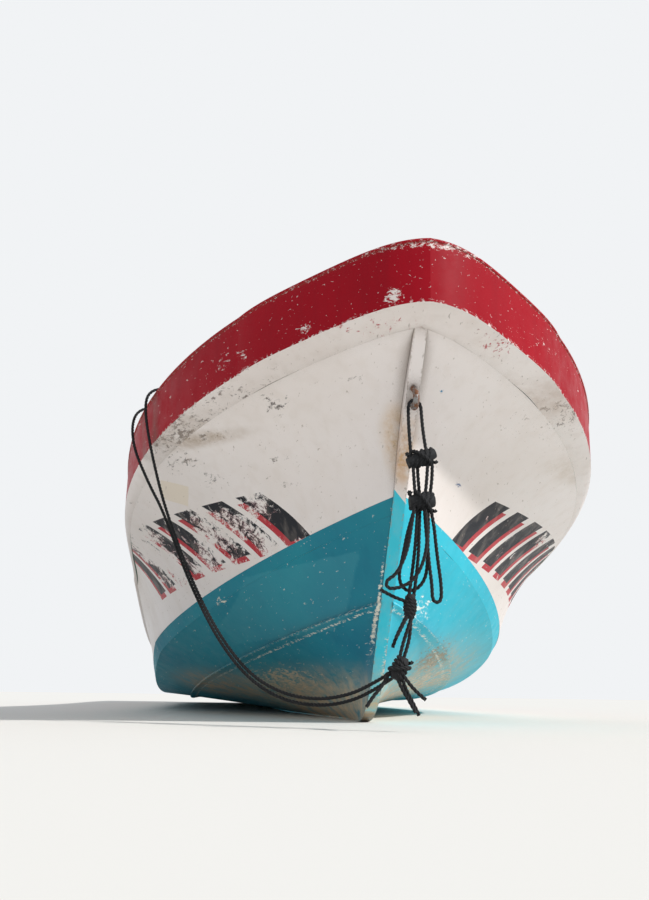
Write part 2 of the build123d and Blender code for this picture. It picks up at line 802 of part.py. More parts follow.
def leg_holes(plane, spread, rod, depth):
    """Holes for the legs of a bolt, along the plane's y, through whatever the builder holds."""
    for across in (-spread / 2, spread / 2):
        start = plane.from_local_coords(Vector(across, depth, 0))
        with BuildSketch(Plane(origin=start, z_dir=-plane.y_dir)) as hole:
            Circle(rod / 2 + bolt_play)
        extrude(hole.sketch, amount=3 * depth, mode=Mode.SUBTRACT)


# Bow eye: a U-bolt through the stem band
up_stem = Vector(0, -cos(stem_lean), sin(stem_lean))
out_of_stem = Vector(0, -sin(stem_lean), -cos(stem_lean))
eye_foot = Vector(0, stem_edge(eye_height), eye_height) + keel_proud * out_of_stem
eye_plane = Plane(origin=eye_foot, x_dir=up_stem, z_dir=(1, 0, 0))
pieces["bow_eye"] = u_bolt(eye_plane, eye_spread, eye_rod, eye_reach, stem_depth)
with BuildPart() as pierced_band:
    add(stem_band.part)
    leg_holes(eye_plane, eye_spread, eye_rod, stem_depth)
pieces["stem_band"] = pierced_band

# Stern eyes, on the transom
for name, side in [("stern_eye_port", 1), ("stern_eye_starboard", -1)]:
    plane = Plane(
        origin=transom_face.from_local_coords(Vector(side * stern_eye_out, stern_eye_height, -transom_thickness)),
        x_dir=(1, 0, 0), z_dir=transom_face.y_dir,
    )
    pieces[name] = u_bolt(plane, stern_eye_spread, stern_eye_rod, stern_eye_reach, transom_thickness + 12)
    with BuildPart() as pierced:
        add(pieces["transom"].part)
        leg_holes(plane, stern_eye_spread, stern_eye_rod, transom_thickness)
    pieces["transom"] = pierced

# Drain through the foot of the transom
with BuildPart() as drain_socket:
    with BuildSketch(transom_face.offset(-transom_thickness)):
        with Locations((0, drain_height)):
            Circle(drain_outside + drain_flange)
    extrude(amount=-drain_flange_thickness)
    with BuildSketch(transom_face):
        with Locations((0, drain_height)):
            Circle(drain_outside - 0.2)
    extrude(amount=-transom_thickness)
    with BuildSketch(transom_face):
        with Locations((0, drain_height)):
            Circle(drain_bore)
    extrude(amount=-transom_thickness - drain_flange_thickness, mode=Mode.SUBTRACT)
pieces["drain_socket"] = drain_socket


def cleat(plane):
    """A horn cleat that stands on a plane, its horns along the plane's x."""
    with BuildPart() as piece:
        with BuildSketch(plane):
            SlotOverall(cleat_foot, 2 * cleat_post + 14)
        extrude(amount=cleat_base)
        with BuildSketch(plane.offset(cleat_base)):
            with Locations((-cleat_post_out, 0), (cleat_post_out, 0)):
                Circle(cleat_post)
        extrude(amount=cleat_rise)
        with BuildSketch(Plane(origin=plane.origin + (cleat_base + cleat_rise) * plane.z_dir,
                               x_dir=plane.x_dir, z_dir=-plane.y_dir)):
            with BuildLine():
                tip = cleat_length / 2
                Polyline((-tip, 0), (-tip, cleat_tip), (0, cleat_post + 2), (tip, cleat_tip), (tip, 0), close=True)
            make_face()
        revolve(axis=Axis(plane.origin + (cleat_base + cleat_rise) * plane.z_dir, plane.x_dir))
    return piece


bow_cleat_plane = Plane(
    origin=deck_plane.from_local_coords(Vector(-bow_cleat_out, bow_cleat_back - hatch_middle, 0)),
    x_dir=deck_plane.y_dir, z_dir=deck_plane.z_dir,
)
pieces["bow_cleat_starboard"] = cleat(bow_cleat_plane)
with BuildPart() as bow_cleat_port:
    mirror(pieces["bow_cleat_starboard"].part, about=Plane.YZ)
pieces["bow_cleat_port"] = bow_cleat_port
for name, side in [("stern_cleat_port", 1), ("stern_cleat_starboard", -1)]:
    pieces[name] = cleat(
        Plane(
            origin=(side * (corner["rail"].X - stern_cleat_in), transom_at_knee - stern_cleat_ahead, knee_top),
            x_dir=(1, 0, 0),
        )
    )

# Rowlock sockets: a plate on the gunwale cap and a tube down through it
cap_middle = sheer["half"] * taper(rowlock_back) - cap_width / 2
for name, side in [("rowlock_socket_port", 1), ("rowlock_socket_starboard", -1)]:
    with BuildPart() as socket:
        with BuildSketch(Plane.XY.offset(sheer["aft"])):
            with Locations((side * cap_middle, rowlock_back)):
                SlotOverall(rowlock_plate, 2 * rowlock_tube + 16, rotation=90)
        extrude(amount=rowlock_flange)
        with BuildSketch(Plane.XY.offset(sheer["aft"])):
            with Locations((side * cap_middle, rowlock_back)):
                Circle(rowlock_tube)
        extrude(amount=-rowlock_depth)
        with BuildSketch(Plane.XY.offset(sheer["aft"] + rowlock_flange)):
            with Locations((side * cap_middle, rowlock_back)):
                Circle(rowlock_bore)
        extrude(amount=-rowlock_depth - rowlock_flange, mode=Mode.SUBTRACT)
    pieces[name] = socket
with BuildPart() as drilled_cap:
    add(pieces["gunwale_cap"].part)
    with BuildSketch(Plane.XY.offset(sheer["aft"] + cap_thickness)):
        with Locations((cap_middle, rowlock_back), (-cap_middle, rowlock_back)):
            Circle(rowlock_tube + bolt_play)
    extrude(amount=-3 * cap_thickness, mode=Mode.SUBTRACT)
pieces["gunwale_cap"] = drilled_cap

# Ropes: each route is a list of points chosen by hand, joined by straight runs with tangent arcs between them.
# The eye rope hangs plumb from the bow eye in a chain of knots, and two lines run from its lowest knot over
# the starboard gunwale to a cleat on the foredeck.
rope_routes = {
    "eye_rope_loop": [
        [(-13, 240, 803), (-17, 241, 860), (-20, 244, 930), (-20, 246, 998), (20, 246, 998), (23, 244, 930),
         (29, 241, 865), (36, 240, 825)],
    ],
    "eye_rope_strands": [
        [(-9, 234, 790), (-7, 234, 738), (-3, 234, 686)],
        [(8, 249, 790), (9, 249, 740), (14, 248, 690)],
        [(38, 234, 806), (35, 234, 749), (28, 234, 692)],
        [(54, 248, 816), (57, 248, 754), (45, 246, 692)],
    ],
    "eye_rope_bundle": [
        [(4, 236, 656), (-1, 232, 578), (-12, 232, 477), (-26, 238, 378)],
        [(14, 250, 656), (10, 244, 578), (4, 240, 477), (-11, 240, 378)],
    ],
    "eye_rope_left_loop": [
        [(-6, 228, 662), (-18, 218, 600), (-34, 214, 512), (-66, 214, 444), (-100, 214, 424), (-96, 208, 398),
         (-54, 206, 404), (-12, 206, 430), (20, 208, 496), (30, 214, 580), (24, 226, 660)],
    ],
    "eye_rope_small_loop": [
        [(2, 258, 660), (-20, 266, 590), (-36, 268, 508), (-52, 268, 440), (-34, 266, 402), (2, 264, 402),
         (34, 262, 440), (40, 260, 518), (34, 258, 592), (28, 252, 662)],
    ],
    "eye_rope_right_loop": [
        [(36, 238, 656), (38, 236, 604), (32, 232, 540), (36, 230, 476), (44, 232, 418), (45, 234, 366),
         (73, 236, 366), (74, 238, 420), (66, 240, 484), (60, 242, 548), (56, 246, 608), (46, 250, 664)],
    ],
    "eye_rope_lower_strands": [
        [(-18, 231, 324), (-33, 234, 280), (-48, 234, 236), (-58, 232, 194)],
        [(-18, 246, 324), (-20, 246, 280), (-29, 244, 236), (-45, 240, 195)],
    ],
    "eye_rope_ends": [
        [(-31, 231, 326), (-50, 221, 293), (-69, 216, 259)],
        [(-31, 246, 326), (-46, 252, 295), (-62, 256, 262), (-72, 258, 232)],
        [(-33, 236, 366), (-60, 236, 374), (-88, 234, 386), (-113, 232, 399)],
    ],
    "eye_rope_tails": [
        [(-64, 230, 146), (-52, 230, 116), (-30, 226, 82), (-12, 222, 48)],
        [(-50, 240, 150), (-37, 243, 113), (-16, 240, 76), (1, 238, 40)],
        [(-50, 229, 157), (-31, 221, 129), (-8, 214, 103), (15, 208, 84)],
        [(-72, 240, 176), (-90, 238, 150), (-112, 236, 116), (-138, 234, 88), (-154, 232, 62)],
    ],
    "gunwale_line_fore": [
        [(-66, 250, 168), (-119, 320, 128), (-188, 385, 93), (-278, 455, 79), (-375, 530, 97),
         (-468, 605, 150), (-551, 675, 246), (-625, 740, 367), (-687, 790, 493), (-740, 832, 618),
         (-784, 857, 730), (-814, 866, 820), (-840, 868, 910), (-862, 868, 996), (-878, 870, 1073),
         (-885, 876, 1133), (-880, 890, 1178), (-853, 908, 1208), (-808, 924, 1214), (-760, 942, 1206),
         (-712, 958, 1162), (-620, 984, 1078), (-530, 1012, 1010), (-444, 1031, 961)],
    ],
    "gunwale_line_aft": [
        [(-66, 249, 151), (-116, 332, 108), (-187, 403, 72), (-276, 472, 60), (-379, 550, 79),
         (-479, 628, 143), (-567, 700, 249), (-639, 765, 374), (-702, 815, 503), (-756, 858, 636),
         (-806, 893, 751), (-849, 925, 828), (-886, 950, 904), (-916, 970, 970), (-934, 988, 1034),
         (-940, 1010, 1095), (-932, 1034, 1143), (-904, 1050, 1172), (-860, 1062, 1178), (-812, 1070, 1170),
         (-762, 1072, 1134), (-672, 1068, 1066), (-558, 1060, 1008), (-444, 1052, 957)],
    ],
}

# Knots, each a barrel of rope turns about a line, from its upper end to its lower
knots = [
    dict(start=(62, 241, 828), end=(-24, 241, 792), thick=46),
    dict(start=(58, 241, 676), end=(-20, 241, 668), thick=54),
    dict(start=(-20, 238, 388), end=(-25, 238, 316), thick=34),
    dict(start=(-42, 236, 203), end=(-70, 236, 141), thick=44),
]


def rope_radii(points):
    """Radius of the arc at each inner point of a route, as large as the two runs beside it allow."""
    radii = []
    for before, point, after in zip(points, points[1:], points[2:]):
        turn = radians((point - before).get_angle(after - point))
        radii.append(0.45 * min((point - before).length, (after - point).length) / tan(turn / 2))
    return radii


def rope(route):
    """A length of rope along a route."""
    points = [Vector(*point) for point in route]
    with BuildPart() as tube:
        with BuildLine() as path:
            FilletPolyline(*points, radius=rope_radii(points))
        with BuildSketch(Plane(origin=path.line @ 0, z_dir=path.line % 0)):
            Circle(rope_diameter / 2)
        sweep()
    return tube


for name, routes in rope_routes.items():
    with BuildPart() as ropes:
        for route in routes:
            add(rope(route).part)
    pieces[name] = ropes

with BuildPart() as eye_rope_knots:
    for row in knots:
        way = Vector(*row["end"]) - Vector(*row["start"])
        edge = knot_end * row["thick"] / 2
        with BuildSketch(Plane(origin=row["start"], x_dir=way, z_dir=(0, 1, 0))) as knot_half:
            with BuildLine():
                ThreePointArc((0, edge), (way.length / 2, row["thick"] / 2), (way.length, edge))
                Polyline((way.length, edge), (way.length, 0), (0, 0), (0, edge))
            make_face()
        revolve(knot_half.sketch, axis=Axis(row["start"], way))
pieces["eye_rope_knots"] = eye_rope_knots

# Hitch of both lines round the posts of the cleat
with BuildPart() as cleat_hitch:
    with BuildSketch(bow_cleat_plane.offset(cleat_base + hitch_gap)):
        inside = cleat_post + hitch_play
        SlotCenterToCenter(2 * cleat_post_out, 2 * (inside + rope_diameter))
        SlotCenterToCenter(2 * cleat_post_out, 2 * inside, mode=Mode.SUBTRACT)
    extrude(amount=hitch_height)
pieces["cleat_hitch"] = cleat_hitch

# The origin goes under the middle of the boat's length, on the surface it stands on
box = Compound([piece.part for piece in pieces.values()]).bounding_box()
midships = (box.min.Y + box.max.Y) / 2
print("length", box.size.Y, "beam", box.size.X, "height", box.size.Z, "midships", midships)
for name, routes in rope_routes.items():
    for route in routes:
        print(name, "radii", [round(radius) for radius in rope_radii([Vector(*point) for point in route])])
for name, piece in pieces.items():
    moved = piece.part.moved(Location((0, -midships, keel_proud)))
    moved.label = name
    export_step(moved, f"parts/{name}.step")
print({name: (round(p.part.volume / 1e6, 2), len(p.part.solids()), p.part.is_valid) for name, p in pieces.items()})
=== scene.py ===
import bpy, math
from mathutils import Matrix, Vector


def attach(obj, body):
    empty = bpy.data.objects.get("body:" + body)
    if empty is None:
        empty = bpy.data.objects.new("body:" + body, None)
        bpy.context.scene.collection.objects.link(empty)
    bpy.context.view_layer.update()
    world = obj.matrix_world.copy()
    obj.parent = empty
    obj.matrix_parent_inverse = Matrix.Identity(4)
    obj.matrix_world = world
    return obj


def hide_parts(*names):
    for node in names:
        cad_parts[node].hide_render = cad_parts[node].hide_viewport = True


# Open beach launch, dressed: worn gelcoat and paint, rusty fittings, black mooring lines.
# Metres. x runs to port, y aft, z up from the ground; the bow points to -y.

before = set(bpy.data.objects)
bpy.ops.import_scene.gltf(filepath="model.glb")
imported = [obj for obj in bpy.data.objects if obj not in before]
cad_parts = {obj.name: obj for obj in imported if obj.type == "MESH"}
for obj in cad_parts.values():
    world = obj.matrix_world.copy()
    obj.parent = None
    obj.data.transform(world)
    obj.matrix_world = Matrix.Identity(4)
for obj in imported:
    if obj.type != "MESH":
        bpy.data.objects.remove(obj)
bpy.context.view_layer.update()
stemHead = Vector((0.0, -3.548973, 0.006))    # what the boat's own sizes are measured from
print("frame loaded")

# Camera, as the photograph was taken: low, off the starboard bow
camera = {
    "place": (-0.6136, -6.0400, 0.1059),
    "yaw": 0.1199,            # radians to the right of the boat's axis
    "pitch": 0.2566,
    "roll": 0.0135,
    "lens": 37.04,            # millimetres, as the sensor
    "sensor": 36.0,
    "farthest": 200,
}

# Lamps and ground
light = {
    "sunTurn": math.radians(56),      # from the bow round to port
    "sunHeight": math.radians(36),
    "sunStrength": 3.0,
    "sunSpread": math.radians(2.5),
    "skyStrength": 0.76,
    "skyColour": "#DDE6F0",
    "floorColour": "#E9E4DC",
    "floorSize": 60,
    "backColour": "#F1F3F5",
}

# Paints: the coat, the coat aged, what a chip bares, what runs down it, roughness and share of shine
paint = {
    "red": {"coat": "#9E0A1C", "aged": "#860A19", "chip": "#E6DED8", "dirt": "#74121C",
            "rough": 0.4, "shine": 0.1},
    "white": {"coat": "#EAE2DE", "aged": "#DDD2CA", "chip": "#9C8E80", "dirt": "#CFC1B4",
              "rough": 0.42, "shine": 0.3},
    "band": {"coat": "#E8E0DC", "aged": "#D6CAC2", "chip": "#8C7F75", "dirt": "#BFAFA2",
             "rough": 0.55, "shine": 0.2},
    # the two turquoises are one paint: the port copy is lighter for painted sunlight, the starboard copy
    # darker for painted shade
    "turquoisePort": {"coat": "#38C6DA", "aged": "#2EB0C6", "chip": "#E4E2D6", "dirt": "#3B8496",
                      "rough": 0.48, "shine": 0.15},
    "turquoiseStarboard": {"coat": "#258696", "aged": "#1D6A84", "chip": "#D9D8CC", "dirt": "#1F5F78",
                           "rough": 0.48, "shine": 0.15},
    "green": {"coat": "#6FB5A6", "aged": "#4F9487", "chip": "#D8D8CC", "dirt": "#4A7A6C",
              "rough": 0.5, "shine": 0.3},
    "deck": {"coat": "#2F3B40", "aged": "#48545A", "chip": "#9BA09B", "dirt": "#23292C",
             "rough": 0.85, "shine": 0.3},
    "cap": {"coat": "#E6E0D8", "aged": "#C4B6A4", "chip": "#8A7A6A", "dirt": "#A99A88",
            "rough": 0.45, "shine": 0.4},
}

# How it wears, the grime and painted shade in its corners, and where its inside is painted
wear = {
    # the dark brown laid into corners within this reach is grime and painted shade together
    "grimeAndShade": "#6E5F50", "grimeAndShadeReach": 0.045,
    "edgeReach": 0.016,
    "insideFrom": (0.0, 2.5, 0.0),            # outward turns forward from 2.5 m before midships
    "insideReach": (10.0, 0.0, -0.3),         # abaft that it is sideways; everywhere a little down
}


# sRGB hex to linear
def hexColour(text):
    parts = [int(text[at : at + 2], 16) / 255 for at in (1, 3, 5)]
    linear = [part / 12.92 if part <= 0.04045 else ((part + 0.055) / 1.055) ** 2.4 for part in parts]
    return (*linear, 1.0)


def addNode(tree, kind, settings=None, links=None):
    node = tree.nodes.new(kind)
    for key, value in (settings or {}).items():
        if isinstance(key, int) or key in node.inputs:
            node.inputs[key].default_value = value
        else:
            setattr(node, key, value)
    for key, source in (links or {}).items():
        tree.links.new(source, node.inputs[key])
    return node


def newMaterial(name):
    material = bpy.data.materials.new(name)
    material.use_nodes = True
    material.node_tree.nodes.clear()
    return material, material.node_tree


def finishMaterial(tree, shader):
    addNode(tree, "ShaderNodeOutputMaterial", links={"Surface": shader.outputs[0]})


def setCoat(obj, material):
    for at in range(max(len(obj.material_slots), 1)):
        if len(obj.material_slots) == 0:
            obj.data.materials.append(material)
        obj.material_slots[at].material = material


# Worn places. A scuff is a crowd of fine specks, a stain fades out softly, a patch has a firm edge.
# size is half the place's length across, along and up; turn is in degrees about x, y and z.
redMarks = [
    {"kind": "scuff", "place": (-0.105, -3.51, 1.265), "size": (0.05, 0.06, 0.045), "colour": "#E4DAD4",
     "strength": 0.95, "crowd": 0.75},
    {"kind": "scuff", "place": (-0.541, -3.149, 1.178), "size": (0.06, 0.06, 0.04), "colour": "#E4DAD4",
     "strength": 0.95, "crowd": 0.6},
    {"kind": "scuff", "place": (-0.60, -3.07, 1.175), "size": (0.12, 0.12, 0.06), "colour": "#E4DAD4",
     "strength": 0.95, "crowd": 0.3},
    {"kind": "scuff", "place": (-0.354, -3.33, 1.213), "size": (0.07, 0.08, 0.04), "colour": "#E4DAD4",
     "strength": 0.95, "crowd": 0.5},
    {"kind": "scuff", "place": (0.45, -3.22, 1.24), "size": (0.5, 0.5, 0.06), "colour": "#E4DAD4",
     "strength": 0.9, "crowd": 0.2},
    {"kind": "scuff", "place": (0.0, -3.50, 1.42), "size": (0.5, 0.3, 0.03), "colour": "#E4DAD4",
     "strength": 0.9, "crowd": 0.5},
]
whiteMarks = [
    {"kind": "scuff", "place": (-0.423, -3.029, 1.052), "size": (0.13, 0.11, 0.06), "colour": "#3B322C",
     "strength": 0.85, "crowd": 0.5},
    {"kind": "scuff", "place": (-0.186, -3.21, 1.094), "size": (0.10, 0.07, 0.03), "colour": "#6C6058",
     "strength": 0.6, "crowd": 0.3},
    {"kind": "scuff", "place": (-0.63, -2.80, 0.995), "size": (0.20, 0.22, 0.035), "turn": (0, 0, -47),
     "colour": "#4A3D34", "strength": 0.75, "crowd": 0.45},
    {"kind": "scuff", "place": (-0.74, -2.62, 0.94), "size": (0.16, 0.22, 0.07), "colour": "#5A4B40",
     "strength": 0.8, "crowd": 0.42},
    {"kind": "scuff", "place": (-0.63, -2.60, 0.88), "size": (0.10, 0.14, 0.06), "colour": "#4C4038",
     "strength": 0.75, "crowd": 0.35},
    {"kind": "scuff", "place": (-0.40, -2.84, 0.91), "size": (0.10, 0.10, 0.02), "colour": "#5A4E46",
     "strength": 0.8, "crowd": 0.5},
    {"kind": "scuff", "place": (-0.367, -2.78, 0.832), "size": (0.12, 0.12, 0.02), "colour": "#6B5F56",
     "strength": 0.6, "crowd": 0.45},
    {"kind": "scuff", "place": (-0.55, -2.45, 0.74), "size": (0.40, 0.50, 0.12), "colour": "#6B5A4D",
     "strength": 0.6, "crowd": 0.22},
    {"kind": "scuff", "place": (-0.6, -1.9, 0.62), "size": (0.40, 0.6, 0.14), "colour": "#4A4038",
     "strength": 0.6, "crowd": 0.25},
    {"kind": "stain", "place": (-0.70, -2.74, 0.99), "size": (0.36, 0.42, 0.035), "turn": (7, 0, -47),
     "colour": "#A38D74", "strength": 0.55},
    {"kind": "patch", "place": (-0.770, -2.43, 0.858), "size": (0.055, 0.05, 0.055), "turn": (38, 0, 0),
     "colour": "#E3D6C4", "strength": 0.85},
    {"kind": "scuff", "place": (0.112, -3.218, 1.069), "size": (0.014, 0.014, 0.014), "colour": "#2E7FA8",
     "strength": 1.0, "crowd": 1.0},
    {"kind": "scuff", "place": (0.25, -2.88, 0.832), "size": (0.06, 0.05, 0.016), "turn": (0, 28, 0),
     "colour": "#3E5C86", "strength": 0.9, "crowd": 0.7},
    {"kind": "stain", "place": (-0.02, -3.15, 0.90), "size": (0.085, 0.10, 0.26), "colour": "#CFAE84",
     "strength": 0.85},
    {"kind": "scuff", "place": (0.50, -2.95, 1.05), "size": (0.5, 0.5, 0.10), "colour": "#7A6A5C",
     "strength": 0.5, "crowd": 0.2},
    {"kind": "stain", "place": (0.78, -2.65, 0.96), "size": (0.22, 0.5, 0.05), "colour": "#C2B2A0",
     "strength": 0.4},
]
bandMarks = [
    {"kind": "scuff", "place": (0.0, -3.1, 1.12), "size": (1.1, 0.9, 0.30), "colour": "#7A6A5E",
     "strength": 0.6, "crowd": 0.26},
    {"kind": "scuff", "place": (-0.80, -2.75, 1.02), "size": (0.40, 0.55, 0.12), "colour": "#4E4038",
     "strength": 0.75, "crowd": 0.55},
    {"kind": "scuff", "place": (-0.60, -3.0, 1.08), "size": (0.45, 0.5, 0.08), "colour": "#5A4A40",
     "strength": 0.7, "crowd": 0.32},
    {"kind": "stain", "place": (-0.76, -2.76, 1.0), "size": (0.25, 0.45, 0.10), "colour": "#A8988A",
     "strength": 0.5},
    {"kind": "scuff", "place": (-0.25, -3.38, 1.20), "size": (0.6, 0.3, 0.035), "colour": "#A8202F",
     "strength": 0.85, "crowd": 0.36},
    {"kind": "scuff", "place": (0.26, -3.36, 1.19), "size": (0.14, 0.10, 0.06), "colour": "#A8202F",
     "strength": 0.9, "crowd": 0.5},
    {"kind": "scuff", "place": (0.65, -3.02, 1.08), "size": (0.40, 0.45, 0.10), "colour": "#5E4F45",
     "strength": 0.7, "crowd": 0.42},
    {"kind": "stain", "place": (0.565, -3.089, 1.103), "size": (0.35, 0.3, 0.06), "colour": "#B8A496",
     "strength": 0.4},
]
turquoiseMarks = [
    {"kind": "patch", "place": (-0.33, -2.40, 0.44), "size": (0.10, 0.5, 0.13), "turn": (0, -12, 18),
     "colour": "#4E9CA8", "strength": 0.3},
    {"kind": "scuff", "place": (-0.55, -2.1, 0.47), "size": (0.14, 0.10, 0.03), "colour": "#E8DFCB",
     "strength": 0.9, "crowd": 0.6},
    {"kind": "stain", "place": (-0.62, -1.2, 0.12), "size": (0.60, 0.9, 0.13), "colour": "#B39F86",
     "strength": 0.9},
    {"kind": "scuff", "place": (-0.33, -1.95, 0.15), "size": (0.5, 0.8, 0.13), "colour": "#CDBA9A",
     "strength": 0.9, "crowd": 0.65},
    {"kind": "stain", "place": (-0.15, -2.0, 0.02), "size": (0.75, 1.4, 0.24), "colour": "#C6AE8C",
     "strength": 1.0},
    {"kind": "scuff", "place": (0.36, -2.1, 0.24), "size": (0.25, 0.6, 0.16), "colour": "#7E6A52",
     "strength": 0.9, "crowd": 0.75},
    {"kind": "stain", "place": (0.42, -1.7, 0.05), "size": (0.85, 1.4, 0.40), "colour": "#CDBBA4",
     "strength": 1.0},
    {"kind": "scuff", "place": (0.45, -1.7, 0.12), "size": (0.7, 1.2, 0.28), "colour": "#DCCDB8",
     "strength": 0.9, "crowd": 0.55},
    {"kind": "scuff", "place": (0.14, -2.6, 0.42), "size": (0.18, 0.3, 0.12), "colour": "#EEF0E6",
     "strength": 0.9, "crowd": 0.5},
    {"kind": "scuff", "place": (-0.028, -2.75, 0.40), "size": (0.012, 0.5, 0.36), "colour": "#E6E2D2",
     "strength": 0.95, "crowd": 0.8},
]
stemMarks = [
    {"kind": "stain", "place": (0.0, -3.15, 0.90), "size": (0.06, 0.12, 0.24), "colour": "#C99A62",
     "strength": 0.9},
    {"kind": "scuff", "place": (0.02, -2.6, 0.2), "size": (0.03, 0.6, 0.34), "colour": "#F0E8D6",
     "strength": 0.9, "crowd": 0.6},
    {"kind": "stain", "place": (0.0, -2.3, 0.03), "size": (0.12, 0.9, 0.26), "colour": "#D2B994",
     "strength": 1.0},
]
insideMarks = [
    {"kind": "scuff", "place": (0.0, 0.3, 0.15), "size": (0.6, 3.6, 0.06), "colour": "#D9D2BE",
     "strength": 0.7, "crowd": 0.3},
    {"kind": "stain", "place": (0.0, 0.8, 0.15), "size": (0.5, 2.6, 0.05), "colour": "#8D8468",
     "strength": 0.6},
]


# The node that says how much of a mark shows
def markShare(tree, place, mark, broad, fine):
    local = addNode(
        tree, "ShaderNodeMapping",
        {"vector_type": "TEXTURE", "Location": mark["place"], "Scale": mark["size"],
         "Rotation": [math.radians(turn) for turn in mark.get("turn", (0, 0, 0))]},
        {"Vector": place},
    )
    if mark["kind"] == "patch":
        plain = addNode(tree, "ShaderNodeVectorMath", {"operation": "ABSOLUTE"}, {0: local.outputs[0]})
        parts = addNode(tree, "ShaderNodeSeparateXYZ", links={0: plain.outputs[0]}).outputs
        most = parts[0]
        for part in (parts[1], parts[2]):
            most = addNode(tree, "ShaderNodeMath", {"operation": "MAXIMUM"}, {0: most, 1: part}).outputs[0]
        ragged = addNode(
            tree, "ShaderNodeMath", {"operation": "MULTIPLY_ADD", 1: 0.18}, {0: broad, 2: most}
        )
        return addNode(
            tree, "ShaderNodeMapRange",
            {"From Min": 1.06, "From Max": 1.12, "To Min": mark["strength"], "To Max": 0.0},
            {"Value": ragged.outputs[0]},
        )
    length = addNode(tree, "ShaderNodeVectorMath", {"operation": "LENGTH"}, {0: local.outputs[0]})
    reach = length.outputs["Value"]
    if mark["kind"] == "stain":
        fall = addNode(
            tree, "ShaderNodeMapRange",
            {"interpolation_type": "SMOOTHSTEP", "From Min": 1.0, "From Max": 0.15, "To Max": 1.3},
            {"Value": reach},
        )
        patchy = addNode(
            tree, "ShaderNodeMapRange", {"From Min": 0.34, "From Max": 0.62, "To Max": mark["strength"]},
            {"Value": broad},
        )
        return addNode(
            tree, "ShaderNodeMath", {"operation": "MULTIPLY", "use_clamp": True},
            {0: fall.outputs[0], 1: patchy.outputs[0]},
        )
    level = addNode(
        tree, "ShaderNodeMapRange",
        {"From Min": 0.2, "From Max": 1.0, "To Min": 0.64 - 0.26 * mark["crowd"], "To Max": 0.70},
        {"Value": reach},
    )
    above = addNode(tree, "ShaderNodeMath", {"operation": "SUBTRACT"}, {0: fine, 1: level.outputs[0]})
    return addNode(
        tree, "ShaderNodeMapRange", {"From Min": 0.0, "From Max": 0.035, "To Max": mark["strength"]},
        {"Value": above.outputs[0]},
    )
